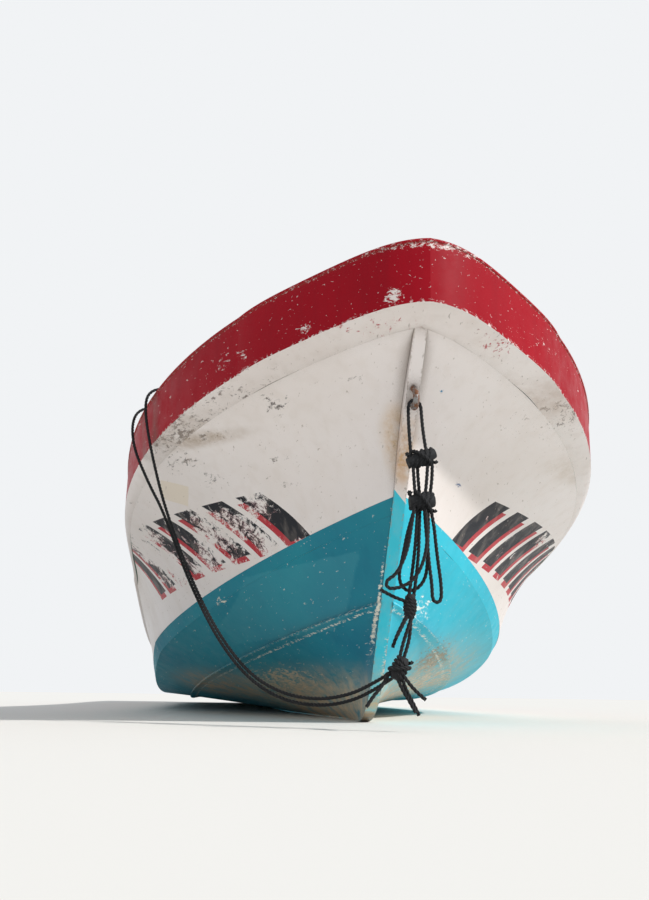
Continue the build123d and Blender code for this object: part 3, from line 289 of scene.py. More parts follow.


# Painted gelcoat after years in the sun: faded coats, dirt that runs down, stone chips, scratches along the
# side, edges rubbed through, and grime with painted shade in the corners. The Bevel node finds the edges.
def wornPaint(name, look, marks=(), edges=0.8, chips=0.5, streaks=0.25, decorate=None, lined=False,
              grimeAndShade=0.75):
    material, tree = newMaterial(name)
    place = addNode(tree, "ShaderNodeTexCoord").outputs["Object"]
    geometry = addNode(tree, "ShaderNodeNewGeometry")
    fade = addNode(
        tree, "ShaderNodeTexNoise", {"Scale": 1.3, "Detail": 5.0, "Roughness": 0.6}, {"Vector": place}
    )
    fadeShare = addNode(
        tree, "ShaderNodeMapRange", {"From Min": 0.42, "From Max": 0.72, "To Max": 0.75},
        {"Value": fade.outputs["Fac"]},
    )
    colour = addNode(
        tree, "ShaderNodeMixRGB", {"Color1": hexColour(look["coat"]), "Color2": hexColour(look["aged"])},
        {"Fac": fadeShare.outputs[0]},
    )
    # what lies over the coat, the lowest first: where it shows, and its colour
    layers = decorate(tree, place) if decorate else []

    # dirt that ran down with the rain, 20 to 60 mm wide
    tall = addNode(tree, "ShaderNodeMapping", {"Scale": (22.0, 22.0, 1.1)}, {"Vector": place})
    run = addNode(tree, "ShaderNodeTexNoise", {"Scale": 1.0, "Detail": 3.0}, {"Vector": tall.outputs[0]})
    runShare = addNode(
        tree, "ShaderNodeMapRange", {"From Min": 0.5, "From Max": 0.75, "To Max": streaks},
        {"Value": run.outputs["Fac"]},
    )
    layers.append((runShare, look["dirt"]))

    broad = addNode(
        tree, "ShaderNodeTexNoise", {"Scale": 14.0, "Detail": 8.0, "Roughness": 0.72}, {"Vector": place}
    ).outputs["Fac"]
    # specks from 2 mm, drawn out along the side as things rub past
    rubbed = addNode(tree, "ShaderNodeMapping", {"Scale": (1.0, 0.4, 1.9)}, {"Vector": place})
    fine = addNode(
        tree, "ShaderNodeTexNoise", {"Scale": 42.0, "Detail": 9.0, "Roughness": 0.78, "Distortion": 0.4},
        {"Vector": rubbed.outputs[0]},
    ).outputs["Fac"]
    layers += [(markShare(tree, place, mark, broad, fine), mark["colour"]) for mark in marks]
    if lined:
        # the shell's inner faces look back at the middle of the boat, and have the inside's paint
        fromMiddle = addNode(
            tree, "ShaderNodeVectorMath", {"operation": "ADD", 1: wear["insideFrom"]}, {0: place}
        )
        outward = addNode(
            tree, "ShaderNodeVectorMath", {"operation": "MINIMUM", 1: wear["insideReach"]},
            {0: fromMiddle.outputs[0]},
        )
        side = addNode(
            tree, "ShaderNodeVectorMath", {"operation": "DOT_PRODUCT"},
            {0: outward.outputs[0], 1: geometry.outputs["Normal"]},
        )
        inner = addNode(
            tree, "ShaderNodeMath", {"operation": "LESS_THAN", 1: 0.0}, {0: side.outputs["Value"]}
        )
        layers.append((inner, paint["green"]["coat"]))

    # scratches run fore and aft, about 1 mm wide, drawn 3 mm wide so that they show
    longWays = addNode(
        tree, "ShaderNodeMapping", {"Scale": (60.0, 4.0, 60.0), "Rotation": (0.2, 0.0, 0.15)},
        {"Vector": place},
    )
    scratch = addNode(
        tree, "ShaderNodeTexNoise", {"Scale": 1.6, "Detail": 2.0, "Distortion": 0.6},
        {"Vector": longWays.outputs[0]},
    )
    scratchShare = addNode(
        tree, "ShaderNodeMapRange", {"From Min": 0.69, "From Max": 0.74, "To Max": 0.6},
        {"Value": scratch.outputs["Fac"]},
    )
    layers.append((scratchShare, look["chip"]))

    # chips 3 to 15 mm across, thick along edges
    speck = addNode(
        tree, "ShaderNodeTexNoise", {"Scale": 75.0, "Detail": 5.0, "Roughness": 0.65}, {"Vector": place}
    )
    crowd = addNode(tree, "ShaderNodeTexNoise", {"Scale": 3.5, "Detail": 2.0}, {"Vector": place})
    rounded = addNode(tree, "ShaderNodeBevel", {"samples": 4, "Radius": wear["edgeReach"]})
    facing = addNode(
        tree, "ShaderNodeVectorMath", {"operation": "DOT_PRODUCT"},
        {0: rounded.outputs[0], 1: geometry.outputs["Normal"]},
    )
    edgeShare = addNode(
        tree, "ShaderNodeMapRange", {"From Min": 0.99, "From Max": 0.75, "To Max": 0.24 * edges},
        {"Value": facing.outputs["Value"]},
    )
    level = addNode(
        tree, "ShaderNodeMath", {"operation": "MULTIPLY_ADD", 1: 0.18 * chips},
        {0: crowd.outputs["Fac"], 2: speck.outputs["Fac"]},
    )
    level = addNode(
        tree, "ShaderNodeMath", {"operation": "ADD"}, {0: level.outputs[0], 1: edgeShare.outputs[0]}
    )
    chipShare = addNode(
        tree, "ShaderNodeMapRange", {"From Min": 0.72 + 0.02 * chips, "From Max": 0.75 + 0.02 * chips},
        {"Value": level.outputs[0]},
    )
    layers.append((chipShare, look["chip"]))

    # grime and painted shade in the corners where pieces meet, up to 40 mm wide: the colour darkens where
    # the AO node finds other surfaces close by
    corner = addNode(tree, "ShaderNodeAmbientOcclusion", {"samples": 3, "Distance": wear["grimeAndShadeReach"]})
    cornerGrimeAndShade = addNode(
        tree, "ShaderNodeMapRange", {"From Min": 0.98, "From Max": 0.55, "To Max": grimeAndShade},
        {"Value": corner.outputs["AO"]},
    )
    layers.append((cornerGrimeAndShade, wear["grimeAndShade"]))

    for share, over in layers:
        colour = addNode(
            tree, "ShaderNodeMixRGB", {"Color2": hexColour(over)},
            {"Fac": share.outputs[0], "Color1": colour.outputs[0]},
        )
    gloss = addNode(
        tree, "ShaderNodeMapRange",
        {"From Min": 0.35, "From Max": 0.7, "To Min": look["rough"] - 0.08, "To Max": look["rough"] + 0.18},
        {"Value": broad},
    )
    relief = addNode(
        tree, "ShaderNodeMath", {"operation": "MULTIPLY_ADD", 1: -1.0}, {0: chipShare.outputs[0], 2: broad}
    )
    bump = addNode(
        tree, "ShaderNodeBump", {"Strength": 0.35, "Distance": 0.0015}, {"Height": relief.outputs[0]}
    )
    shader = addNode(
        tree, "ShaderNodeBsdfPrincipled", {"IOR": 1.5, "Specular IOR Level": look["shine"]},
        {"Base Color": colour.outputs[0], "Roughness": gloss.outputs[0], "Normal": bump.outputs[0]},
    )
    finishMaterial(tree, shader)
    return material


# A plain row of leaning bars on each bow, black with a red shade under them. Distances are along the side
# in y, and width is a bar's share of the pitch; foot is the height of the row's fore end, and both edges
# fall aft.
bars = {
    "fore": -2.735, "aft": -1.535, "pitch": 0.150, "width": 0.62, "lean": -0.30,
    "foot": 0.655, "tall": 0.167, "footFall": 0.105, "topFall": 0.055,
    "black": "#1E1F26", "red": "#B5303A", "shade": 0.022,
}


# 1 inside the bars, moved aft and down by so much
def barShare(tree, place, moved):
    parts = addNode(tree, "ShaderNodeSeparateXYZ", links={0: place})
    aft = addNode(
        tree, "ShaderNodeMath", {"operation": "SUBTRACT", 1: bars["fore"] + moved}, {0: parts.outputs[1]}
    ).outputs[0]
    height = addNode(
        tree, "ShaderNodeMath", {"operation": "ADD", 1: moved - bars["foot"]}, {0: parts.outputs[2]}
    ).outputs[0]
    leaning = addNode(
        tree, "ShaderNodeMath", {"operation": "MULTIPLY_ADD", 1: bars["lean"]}, {0: height, 2: aft}
    ).outputs[0]
    counted = addNode(tree, "ShaderNodeMath", {"operation": "DIVIDE", 1: bars["pitch"]}, {0: leaning})
    across = addNode(tree, "ShaderNodeMath", {"operation": "FRACT"}, {0: counted.outputs[0]})
    within = {"operation": "LESS_THAN", 1: bars["width"]}
    tests = [addNode(tree, "ShaderNodeMath", within, {0: across.outputs[0]})]
    for edge, fall, side in [(0.0, "footFall", "GREATER_THAN"), (bars["tall"], "topFall", "LESS_THAN")]:
        line = addNode(
            tree, "ShaderNodeMath", {"operation": "MULTIPLY_ADD", 1: -bars[fall], 2: edge}, {0: aft}
        )
        tests.append(addNode(tree, "ShaderNodeMath", {"operation": side}, {0: height, 1: line.outputs[0]}))
    for limit, side in [(0.0, "GREATER_THAN"), (bars["aft"] - bars["fore"], "LESS_THAN")]:
        tests.append(addNode(tree, "ShaderNodeMath", {"operation": side, 1: limit}, {0: leaning}))
    share = tests[0]
    for test in tests[1:]:
        share = addNode(
            tree, "ShaderNodeMath", {"operation": "MULTIPLY"}, {0: share.outputs[0], 1: test.outputs[0]}
        )
    return share


def drawBars(flaked):
    def decorate(tree, place):
        flake = addNode(
            tree, "ShaderNodeTexNoise", {"Scale": 26.0, "Detail": 9.0, "Roughness": 0.8, "Distortion": 0.5},
            {"Vector": place},
        )
        area = addNode(tree, "ShaderNodeTexNoise", {"Scale": 4.5, "Detail": 1.0}, {"Vector": place})
        both = addNode(
            tree, "ShaderNodeMath", {"operation": "MULTIPLY_ADD", 1: 0.8},
            {0: area.outputs["Fac"], 2: flake.outputs["Fac"]},
        )
        left = addNode(
            tree, "ShaderNodeMapRange",
            {"From Min": 1.02 - flaked, "From Max": 1.08 - flaked, "To Min": 1.0, "To Max": 0.0},
            {"Value": both.outputs[0]},
        )
        layers = []
        for moved, ink in [(bars["shade"], "red"), (0.0, "black")]:
            share = addNode(
                tree, "ShaderNodeMath", {"operation": "MULTIPLY"},
                {0: barShare(tree, place, moved).outputs[0], 1: left.outputs[0]},
            )
            layers.append((share, bars[ink]))
        return layers

    return decorate


# The stem is white above the paint line and turquoise below it, in the lighter port copy, which is painted
# sunlight. Height is at the middle of the stem, and the line falls to port.
stemLine = {"height": 0.742, "slant": 0.93}


def stemPaintLine(tree, place):
    parts = addNode(tree, "ShaderNodeSeparateXYZ", links={0: place})
    slanted = addNode(
        tree, "ShaderNodeMath", {"operation": "MULTIPLY_ADD", 1: stemLine["slant"]},
        {0: parts.outputs[0], 2: parts.outputs[2]},
    )
    below = addNode(
        tree, "ShaderNodeMath", {"operation": "LESS_THAN", 1: stemLine["height"]}, {0: slanted.outputs[0]}
    )
    return [(below, paint["turquoisePort"]["coat"])]


coats = {
    "red": wornPaint("crimson gelcoat, worn", paint["red"], redMarks, chips=-0.1, streaks=0.2, lined=True),
    "redCap": wornPaint("crimson gelcoat on the cap", paint["red"], redMarks, chips=-0.1, streaks=0.1),
    "white": wornPaint("white gelcoat, chalked", paint["white"], edges=0.5, chips=0.1, streaks=0.16),
    "band": wornPaint("white gelcoat, rubbed", paint["band"], bandMarks, edges=0.25, chips=0.2, streaks=0.2,
                      lined=True),
    "stem": wornPaint("white and turquoise paint on the stem", paint["white"], stemMarks, chips=0.3,
                      streaks=0.1, decorate=stemPaintLine),
    "green": wornPaint("sea green inside paint", paint["green"], insideMarks, edges=0.7, chips=0.3,
                       streaks=0.15),
    "deck": wornPaint("gritty deck paint", paint["deck"], chips=0.4, streaks=0.1),
    "cap": wornPaint("white gunwale gelcoat", paint["cap"], edges=0.7, chips=0.3, streaks=0.15),
}
# the bars have flaked more to starboard; the bottom's turquoise there is the darker copy, painted shade on
# the side away from the sun
for side, flaked, shading, edges in [("Port", 0.0, "", 0.35), ("Starboard", 0.13, "shaded ", 0.3)]:
    turquoise = paint["turquoise" + side]
    coats["white" + side] = wornPaint(
        "white gelcoat, chalked, " + side.lower(), paint["white"], whiteMarks, edges=0.3, chips=-0.3,
        streaks=0.2, decorate=drawBars(flaked), lined=True,
    )
    coats["turquoise" + side] = wornPaint(
        shading + "turquoise bottom paint, scuffed", turquoise, turquoiseMarks, edges=edges, chips=-0.1,
        streaks=0.16, lined=True, grimeAndShade=0.2,
    )
    coats["rail" + side] = wornPaint(
        shading + "turquoise paint on the spray rail", turquoise, turquoiseMarks, edges=0.85, chips=0.0,
        streaks=0.12, grimeAndShade=0.1,
    )
print("paints made")


# Galvanised iron in salt air: zinc grey where it is rubbed, brown rust elsewhere
iron = {"zinc": "#8D8F8E", "rustDark": "#4E3020", "rustLight": "#8A5530"}


def rustyIron(name, rustShare):
    material, tree = newMaterial(name)
    place = addNode(tree, "ShaderNodeTexCoord").outputs["Object"]
    patches = addNode(
        tree, "ShaderNodeTexNoise", {"Scale": 45.0, "Detail": 7.0, "Roughness": 0.7}, {"Vector": place}
    )
    grains = addNode(
        tree, "ShaderNodeTexNoise", {"Scale": 260.0, "Detail": 4.0}, {"Vector": place}
    ).outputs["Fac"]
    rust = addNode(
        tree, "ShaderNodeMapRange",
        {"From Min": 0.62 - rustShare * 0.3, "From Max": 0.72 - rustShare * 0.3},
        {"Value": patches.outputs["Fac"]},
    ).outputs[0]
    brown = addNode(
        tree, "ShaderNodeMixRGB",
        {"Color1": hexColour(iron["rustDark"]), "Color2": hexColour(iron["rustLight"])}, {"Fac": grains},
    )
    colour = addNode(
        tree, "ShaderNodeMixRGB", {"Color1": hexColour(iron["zinc"])},
        {"Fac": rust, "Color2": brown.outputs[0]},
    )
    metal = addNode(tree, "ShaderNodeMapRange", {"To Min": 0.9, "To Max": 0.05}, {"Value": rust})
    rough = addNode(tree, "ShaderNodeMapRange", {"To Min": 0.42, "To Max": 0.88}, {"Value": rust})
    bump = addNode(tree, "ShaderNodeBump", {"Strength": 0.5, "Distance": 0.0008}, {"Height": grains})
    shader = addNode(
        tree, "ShaderNodeBsdfPrincipled",
        links={"Base Color": colour.outputs[0], "Metallic": metal.outputs[0], "Roughness": rough.outputs[0],
               "Normal": bump.outputs[0]},
    )
    finishMaterial(tree, shader)
    return material


# Materials of one noise between two colours. Marine plywood weathers silver grey, its grain 2 to 6 mm
# apart along the board; moulded black polyethylene goes a little chalky; polypropylene rope is matt and
# near black, a little grey where its fibres have frayed, drawn 3 mm apart so that they show.
mottled = {
    "wood": {"name": "weathered grey wood", "low": "#5D4C3A", "high": "#9C8C76", "from": (0.0, 1.0),
             "stretch": (4.0, 60.0, 60.0), "noise": {"Scale": 5.0, "Detail": 6.0, "Distortion": 1.2},
             "bump": 0.4, "finish": {"Roughness": 0.8, "IOR": 1.5}},
    "plastic": {"name": "black polyethylene", "low": "#17181A", "high": "#4B4D4F", "from": (0.0, 1.0),
                "stretch": (1.0, 1.0, 1.0), "noise": {"Scale": 60.0, "Detail": 5.0},
                "bump": 0.0, "finish": {"Roughness": 0.55, "IOR": 1.51}},
    "rope": {"name": "black polypropylene rope", "low": "#0F1013", "high": "#34353A", "from": (0.58, 0.8),
             "stretch": (1.0, 1.0, 1.0), "noise": {"Scale": 330.0, "Detail": 3.0, "Roughness": 0.7},
             "bump": 0.5, "finish": {"Roughness": 0.78, "IOR": 1.49}},
}


def mottledMaterial(look):
    material, tree = newMaterial(look["name"])
    place = addNode(tree, "ShaderNodeTexCoord").outputs["Object"]
    stretched = addNode(tree, "ShaderNodeMapping", {"Scale": look["stretch"]}, {"Vector": place})
    noise = addNode(tree, "ShaderNodeTexNoise", look["noise"], {"Vector": stretched.outputs[0]})
    low, high = look["from"]
    share = addNode(
        tree, "ShaderNodeMapRange", {"From Min": low, "From Max": high}, {"Value": noise.outputs["Fac"]}
    )
    colour = addNode(
        tree, "ShaderNodeMixRGB", {"Color1": hexColour(look["low"]), "Color2": hexColour(look["high"])},
        {"Fac": share.outputs[0]},
    )
    bump = addNode(
        tree, "ShaderNodeBump", {"Strength": look["bump"], "Distance": 0.001},
        {"Height": noise.outputs["Fac"]},
    )
    shader = addNode(
        tree, "ShaderNodeBsdfPrincipled", look["finish"],
        {"Base Color": colour.outputs[0], "Normal": bump.outputs[0]},
    )
    finishMaterial(tree, shader)
    return material


coats["rustyIron"] = rustyIron("rusty galvanised iron", 0.6)
coats["zinc"] = rustyIron("galvanised iron, spotted", 0.3)
coats.update({key: mottledMaterial(look) for key, look in mottled.items()})
coatOf = {
    "bottom_port": "turquoisePort", "chine_strip_port": "turquoisePort", "spray_rail_port": "railPort",
    "bottom_starboard": "turquoiseStarboard", "chine_strip_starboard": "turquoiseStarboard",
    "spray_rail_starboard": "railStarboard", "keel_pad": "turquoisePort",
    "topside_port": "whitePort", "topside_starboard": "whiteStarboard", "rub_band": "band",
    "bulwark": "red", "gunwale_cap": "redCap", "stem_band": "stem", "transom": "white",
    "transom_cap": "cap", "foredeck": "deck", "hatch_lid": "cap", "sole": "green", "bow_bulkhead": "green",
    "forward_seat": "green", "side_bench": "green", "thwart": "green", "stern_knee": "green",
    "motor_pad": "wood", "drain_socket": "plastic", "bow_eye": "rustyIron", "stern_eye": "rustyIron",
    "bow_cleat": "zinc", "stern_cleat": "zinc", "rowlock_socket": "zinc", "hatch_hinges": "rustyIron",
    "eye_rope_knots": "rope", "cleat_hitch": "rope",
}
for name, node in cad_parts.items():
    known = max((key for key in coatOf if name.startswith(key)), key=len, default=None)
    if known:
        setCoat(node, coats[coatOf[known]])

# Black three-strand rope, 12 mm. The routes repeat the solids' points, in metres from the stem head.
rope = {
    "thick": 0.012,
    "turn": 0.040,            # one turn of a strand
    "strand": 0.0032,         # half a strand's thickness
    "step": 0.004,            # from one cross section to the next
    "sides": 8,               # of a strand
    "smoothness": 14,         # pieces of line for each of a route's points
}
ropeRoutes = {
    "eye_rope_loop": {"farEnd": "knot", "lay": "taut", "routes": [
        [(-0.013, 0.24, 0.803), (-0.017, 0.241, 0.86), (-0.02, 0.244, 0.93), (-0.02, 0.246, 0.998),
         (0.02, 0.246, 0.998), (0.023, 0.244, 0.93), (0.029, 0.241, 0.865), (0.036, 0.24, 0.825)],
    ]},
    "eye_rope_strands": {"farEnd": "knot", "lay": "taut", "routes": [
        [(-0.009, 0.234, 0.79), (-0.007, 0.234, 0.738), (-0.003, 0.234, 0.686)],
        [(0.008, 0.249, 0.79), (0.009, 0.249, 0.74), (0.014, 0.248, 0.69)],
        [(0.038, 0.234, 0.806), (0.035, 0.234, 0.749), (0.028, 0.234, 0.692)],
        [(0.054, 0.248, 0.816), (0.057, 0.248, 0.754), (0.045, 0.246, 0.692)],
    ]},
    "eye_rope_bundle": {"farEnd": "knot", "lay": "hanging", "routes": [
        [(0.004, 0.236, 0.656), (-0.001, 0.232, 0.578), (-0.012, 0.232, 0.477), (-0.026, 0.238, 0.378)],
        [(0.014, 0.25, 0.656), (0.01, 0.244, 0.578), (0.004, 0.24, 0.477), (-0.011, 0.24, 0.378)],
    ]},
    "eye_rope_left_loop": {"farEnd": "knot", "lay": "hanging", "routes": [
        [(-0.006, 0.228, 0.662), (-0.018, 0.218, 0.6), (-0.034, 0.214, 0.512), (-0.066, 0.214, 0.444),
         (-0.1, 0.214, 0.424), (-0.096, 0.208, 0.398), (-0.054, 0.206, 0.404), (-0.012, 0.206, 0.43),
         (0.02, 0.208, 0.496), (0.03, 0.214, 0.58), (0.024, 0.226, 0.66)],
    ]},
    "eye_rope_small_loop": {"farEnd": "knot", "lay": "hanging", "routes": [
        [(0.002, 0.258, 0.66), (-0.02, 0.266, 0.59), (-0.036, 0.268, 0.508), (-0.052, 0.268, 0.44),
         (-0.034, 0.266, 0.402), (0.002, 0.264, 0.402), (0.034, 0.262, 0.44), (0.04, 0.26, 0.518),
         (0.034, 0.258, 0.592), (0.028, 0.252, 0.662)],
    ]},
    "eye_rope_right_loop": {"farEnd": "knot", "lay": "hanging", "routes": [
        [(0.036, 0.238, 0.656), (0.038, 0.236, 0.604), (0.032, 0.232, 0.54), (0.036, 0.23, 0.476),
         (0.044, 0.232, 0.418), (0.045, 0.234, 0.366), (0.073, 0.236, 0.366), (0.074, 0.238, 0.42),
         (0.066, 0.24, 0.484), (0.06, 0.242, 0.548), (0.056, 0.246, 0.608), (0.046, 0.25, 0.664)],
    ]},
    "eye_rope_lower_strands": {"farEnd": "knot", "lay": "hanging", "routes": [
        [(-0.018, 0.231, 0.324), (-0.033, 0.234, 0.28), (-0.048, 0.234, 0.236), (-0.058, 0.232, 0.194)],
        [(-0.018, 0.246, 0.324), (-0.02, 0.246, 0.28), (-0.029, 0.244, 0.236), (-0.045, 0.24, 0.195)],
    ]},
    "eye_rope_ends": {"farEnd": "bare", "lay": "hanging", "routes": [
        [(-0.031, 0.231, 0.326), (-0.05, 0.221, 0.293), (-0.069, 0.216, 0.259)],
        [(-0.031, 0.246, 0.326), (-0.046, 0.252, 0.295), (-0.062, 0.256, 0.262), (-0.072, 0.258, 0.232)],
        [(-0.033, 0.236, 0.366), (-0.06, 0.236, 0.374), (-0.088, 0.234, 0.386), (-0.113, 0.232, 0.399)],
    ]},
    "eye_rope_tails": {"farEnd": "bare", "lay": "hanging", "routes": [
        [(-0.064, 0.23, 0.146), (-0.052, 0.23, 0.116), (-0.03, 0.226, 0.082), (-0.012, 0.222, 0.048)],
        [(-0.05, 0.24, 0.15), (-0.037, 0.243, 0.113), (-0.016, 0.24, 0.076), (0.001, 0.238, 0.04)],
        [(-0.05, 0.229, 0.157), (-0.031, 0.221, 0.129), (-0.008, 0.214, 0.103), (0.015, 0.208, 0.084)],
        [(-0.072, 0.24, 0.176), (-0.09, 0.238, 0.15), (-0.112, 0.236, 0.116), (-0.138, 0.234, 0.088),
         (-0.154, 0.232, 0.062)],
    ]},
    "gunwale_line_fore": {"farEnd": "knot", "lay": "hanging", "routes": [
        [(-0.066, 0.25, 0.168), (-0.122, 0.322, 0.127), (-0.188, 0.385, 0.093), (-0.278, 0.455, 0.079),
         (-0.375, 0.53, 0.097), (-0.468, 0.605, 0.15), (-0.551, 0.675, 0.246), (-0.625, 0.74, 0.367),
         (-0.687, 0.79, 0.493), (-0.74, 0.832, 0.618), (-0.784, 0.857, 0.73), (-0.814, 0.866, 0.82),
         (-0.84, 0.868, 0.91), (-0.862, 0.868, 0.996), (-0.878, 0.87, 1.073), (-0.885, 0.876, 1.133),
         (-0.88, 0.89, 1.178), (-0.853, 0.908, 1.208), (-0.808, 0.924, 1.214), (-0.76, 0.942, 1.206),
         (-0.712, 0.958, 1.162), (-0.62, 0.984, 1.078), (-0.522, 1.014, 1.004), (-0.444, 1.031, 0.961)],
    ]},
    "gunwale_line_aft": {"farEnd": "knot", "lay": "hanging", "routes": [
        [(-0.066, 0.249, 0.151), (-0.116, 0.332, 0.108), (-0.187, 0.403, 0.072), (-0.276, 0.472, 0.06),
         (-0.379, 0.55, 0.079), (-0.479, 0.628, 0.143), (-0.567, 0.7, 0.249), (-0.639, 0.765, 0.374),
         (-0.702, 0.815, 0.503), (-0.756, 0.858, 0.636), (-0.806, 0.893, 0.751), (-0.849, 0.925, 0.828),
         (-0.886, 0.95, 0.904), (-0.916, 0.97, 0.97), (-0.934, 0.988, 1.034), (-0.94, 1.01, 1.095),
         (-0.932, 1.034, 1.143), (-0.904, 1.05, 1.172), (-0.86, 1.062, 1.178), (-0.812, 1.07, 1.17),
         (-0.762, 1.072, 1.134), (-0.672, 1.068, 1.066), (-0.558, 1.06, 1.008), (-0.444, 1.052, 0.957)],
    ]},
}


def linkMesh(name, mesh):
    obj = bpy.data.objects.new(name, mesh)
    bpy.context.scene.collection.objects.link(obj)
    return obj


# A new tree with its named inputs, and what they give
def startTree(name, inputs):
    tree = bpy.data.node_groups.new(name, "GeometryNodeTree")
    for label, kind in [*inputs.items(), ("Finish", "Material")]:
        tree.interface.new_socket(label, in_out="INPUT", socket_type="NodeSocket" + kind)
    tree.interface.new_socket("Pieces", in_out="OUTPUT", socket_type="NodeSocketGeometry")
    return tree, addNode(tree, "NodeGroupInput").outputs


def endTree(tree, shape, finish):
    whole = addNode(tree, "GeometryNodeRealizeInstances", links={0: shape.outputs[0]})
    finished = addNode(
        tree, "GeometryNodeSetMaterial", links={"Geometry": whole.outputs[0], "Material": finish}
    )
    addNode(tree, "NodeGroupOutput", links={0: finished.outputs[0]})


# Runs a tree on points and edges, and keeps the plain mesh
def growMesh(name, points, edges, tree, values):
    mesh = bpy.data.meshes.new(name)
    mesh.from_pydata(points, edges, [])
    draft = linkMesh(name + "_draft", mesh)
    modifier = draft.modifiers.new("growth", "NODES")
    modifier.node_group = tree
    for socket in tree.interface.items_tree:
        if socket.name in values:
            modifier[socket.identifier] = values[socket.name]
    graph = bpy.context.evaluated_depsgraph_get()
    finished = bpy.data.meshes.new_from_object(draft.evaluated_get(graph))
    bpy.data.objects.remove(draft)
    piece = linkMesh(name, finished)
    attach(piece, "hull")
    return piece


# Three strands swept along a line, turning as they go
def laidRopeTree():
    tree, given = startTree(
        "laid rope",
        {"Line": "Geometry", "Thickness": "Float", "Strand": "Float", "Turn": "Float", "Step": "Float"},
    )
    line = addNode(tree, "GeometryNodeMeshToCurve", links={"Mesh": given["Line"]})
    evenLine = addNode(
        tree, "GeometryNodeResampleCurve", {"mode": "LENGTH"},
        {"Curve": line.outputs[0], "Length": given["Step"]},
    )
    along = addNode(tree, "GeometryNodeSplineParameter").outputs["Length"]
    turns = addNode(tree, "ShaderNodeMath", {"operation": "DIVIDE"}, {0: along, 1: given["Turn"]})
    twist = addNode(
        tree, "ShaderNodeMath", {"operation": "MULTIPLY", 1: 2 * math.pi}, {0: turns.outputs[0]}
    )
    tilted = addNode(
        tree, "GeometryNodeSetCurveTilt", links={"Curve": evenLine.outputs[0], "Tilt": twist.outputs[0]}
    )
    half = addNode(tree, "ShaderNodeMath", {"operation": "MULTIPLY", 1: 0.5}, {0: given["Thickness"]})
    out = addNode(
        tree, "ShaderNodeMath", {"operation": "SUBTRACT"}, {0: half.outputs[0], 1: given["Strand"]}
    )
    middles = addNode(tree, "GeometryNodeMeshCircle", {"Vertices": 3}, {"Radius": out.outputs[0]})
    strand = addNode(
        tree, "GeometryNodeCurvePrimitiveCircle", {"Resolution": rope["sides"]}, {"Radius": given["Strand"]}
    )
    placed = addNode(
        tree, "GeometryNodeInstanceOnPoints",
        links={"Points": middles.outputs[0], "Instance": strand.outputs[0]},
    )
    section = addNode(tree, "GeometryNodeRealizeInstances", links={0: placed.outputs[0]})
    swept = addNode(
        tree, "GeometryNodeCurveToMesh", {"Fill Caps": True},
        {"Curve": tilted.outputs[0], "Profile Curve": section.outputs[0]},
    )
    smooth = addNode(tree, "GeometryNodeSetShadeSmooth", links={0: swept.outputs[0]})
    endTree(tree, smooth, given["Finish"])
    return tree


ropeTree = laidRopeTree()


def routeLine(points):
    curve = bpy.data.curves.new("route", "CURVE")
    curve.dimensions = "3D"
    curve.resolution_u = rope["smoothness"]
    spline = curve.splines.new("NURBS")
    spline.points.add(len(points) - 1)
    for knob, point in zip(spline.points, points):
        knob.co = (*(Vector(point) + stemHead), 1.0)
    spline.order_u = 3
    spline.use_endpoint_u = True
    holder = linkMesh("route", curve)
    bpy.context.view_layer.update()
    graph = bpy.context.evaluated_depsgraph_get()
    mesh = bpy.data.meshes.new_from_object(holder.evaluated_get(graph))
    line = [vertex.co.copy() for vertex in mesh.vertices]
    bpy.data.objects.remove(holder)
    bpy.data.meshes.remove(mesh)
    return line


def layAlong(name, line):
    edges = [(at, at + 1) for at in range(len(line) - 1)]
    values = {
        "Thickness": rope["thick"], "Strand": rope["strand"], "Turn": rope["turn"], "Step": rope["step"],
        "Finish": coats["rope"],
    }
    piece = growMesh(name, line, edges, ropeTree, values)
    return piece


for node, group in ropeRoutes.items():
    for count, points in enumerate(group["routes"], 1):
        line = routeLine(points)
        piece = layAlong(f"laid_{node}_{count}", line)
        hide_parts(node)
print("ropes laid")

# Turns of rope round each knot's solid, sunk a little in it; lean tips them, and the few turns of a second
# layer lean back. A span is how far along the knot the turns start, and how far they run.
knots = [
    {"name": "upper", "start": (0.062, 0.241, 0.828), "end": (-0.024, 0.241, 0.792), "thick": 0.046,
     "layers": [{"turns": 5, "lean": 0.010, "out": 0.0}, {"turns": 1.6, "lean": -0.022, "out": 0.006}]},
    {"name": "middle", "start": (0.058, 0.241, 0.676), "end": (-0.020, 0.241, 0.668), "thick": 0.054,
     "layers": [{"turns": 4.5, "lean": 0.012, "out": 0.0}, {"turns": 1.6, "lean": -0.024, "out": 0.006}]},
    {"name": "whipping", "start": (-0.020, 0.238, 0.388), "end": (-0.025, 0.238, 0.316), "thick": 0.034,
     "layers": [{"turns": 6, "lean": 0.002, "out": 0.0}]},
    {"name": "lower", "start": (-0.042, 0.236, 0.203), "end": (-0.070, 0.236, 0.141), "thick": 0.044,
     "layers": [{"turns": 4.5, "lean": 0.008, "out": 0.0}, {"turns": 1.5, "lean": -0.018, "out": 0.006}]},
]
knotShape = {
    "endShare": 0.65, "sink": 0.001, "pointsEachTurn": 20, "few": 2, "fewSpan": (0.3, 0.4),
    "manySpan": (0.1, 0.8),
}


def windingLine(knot, layer):
    start = Vector(knot["start"]) + stemHead
    way = Vector(knot["end"]) - Vector(knot["start"])
    axis = way.normalized()
    side = Vector((0, 1, 0))
    front = axis.cross(side)
    count = int(layer["turns"] * knotShape["pointsEachTurn"])
    few = layer["turns"] < knotShape["few"]
    first, run = knotShape["fewSpan" if few else "manySpan"]
    line = []
    for at in range(count + 1):
        share = at / count
        inset = 0.5 if few else share
        swell = 1 - (1 - knotShape["endShare"]) * (2 * inset - 1) ** 2
        radius = knot["thick"] / 2 * swell - knotShape["sink"] + layer["out"]
        angle = 2 * math.pi * layer["turns"] * share
        outward = side * math.sin(angle) + front * math.cos(angle)
        tip = axis * layer["lean"] * math.cos(angle)
        line.append(start + way * (first + run * share) + tip + outward * radius)
    return line


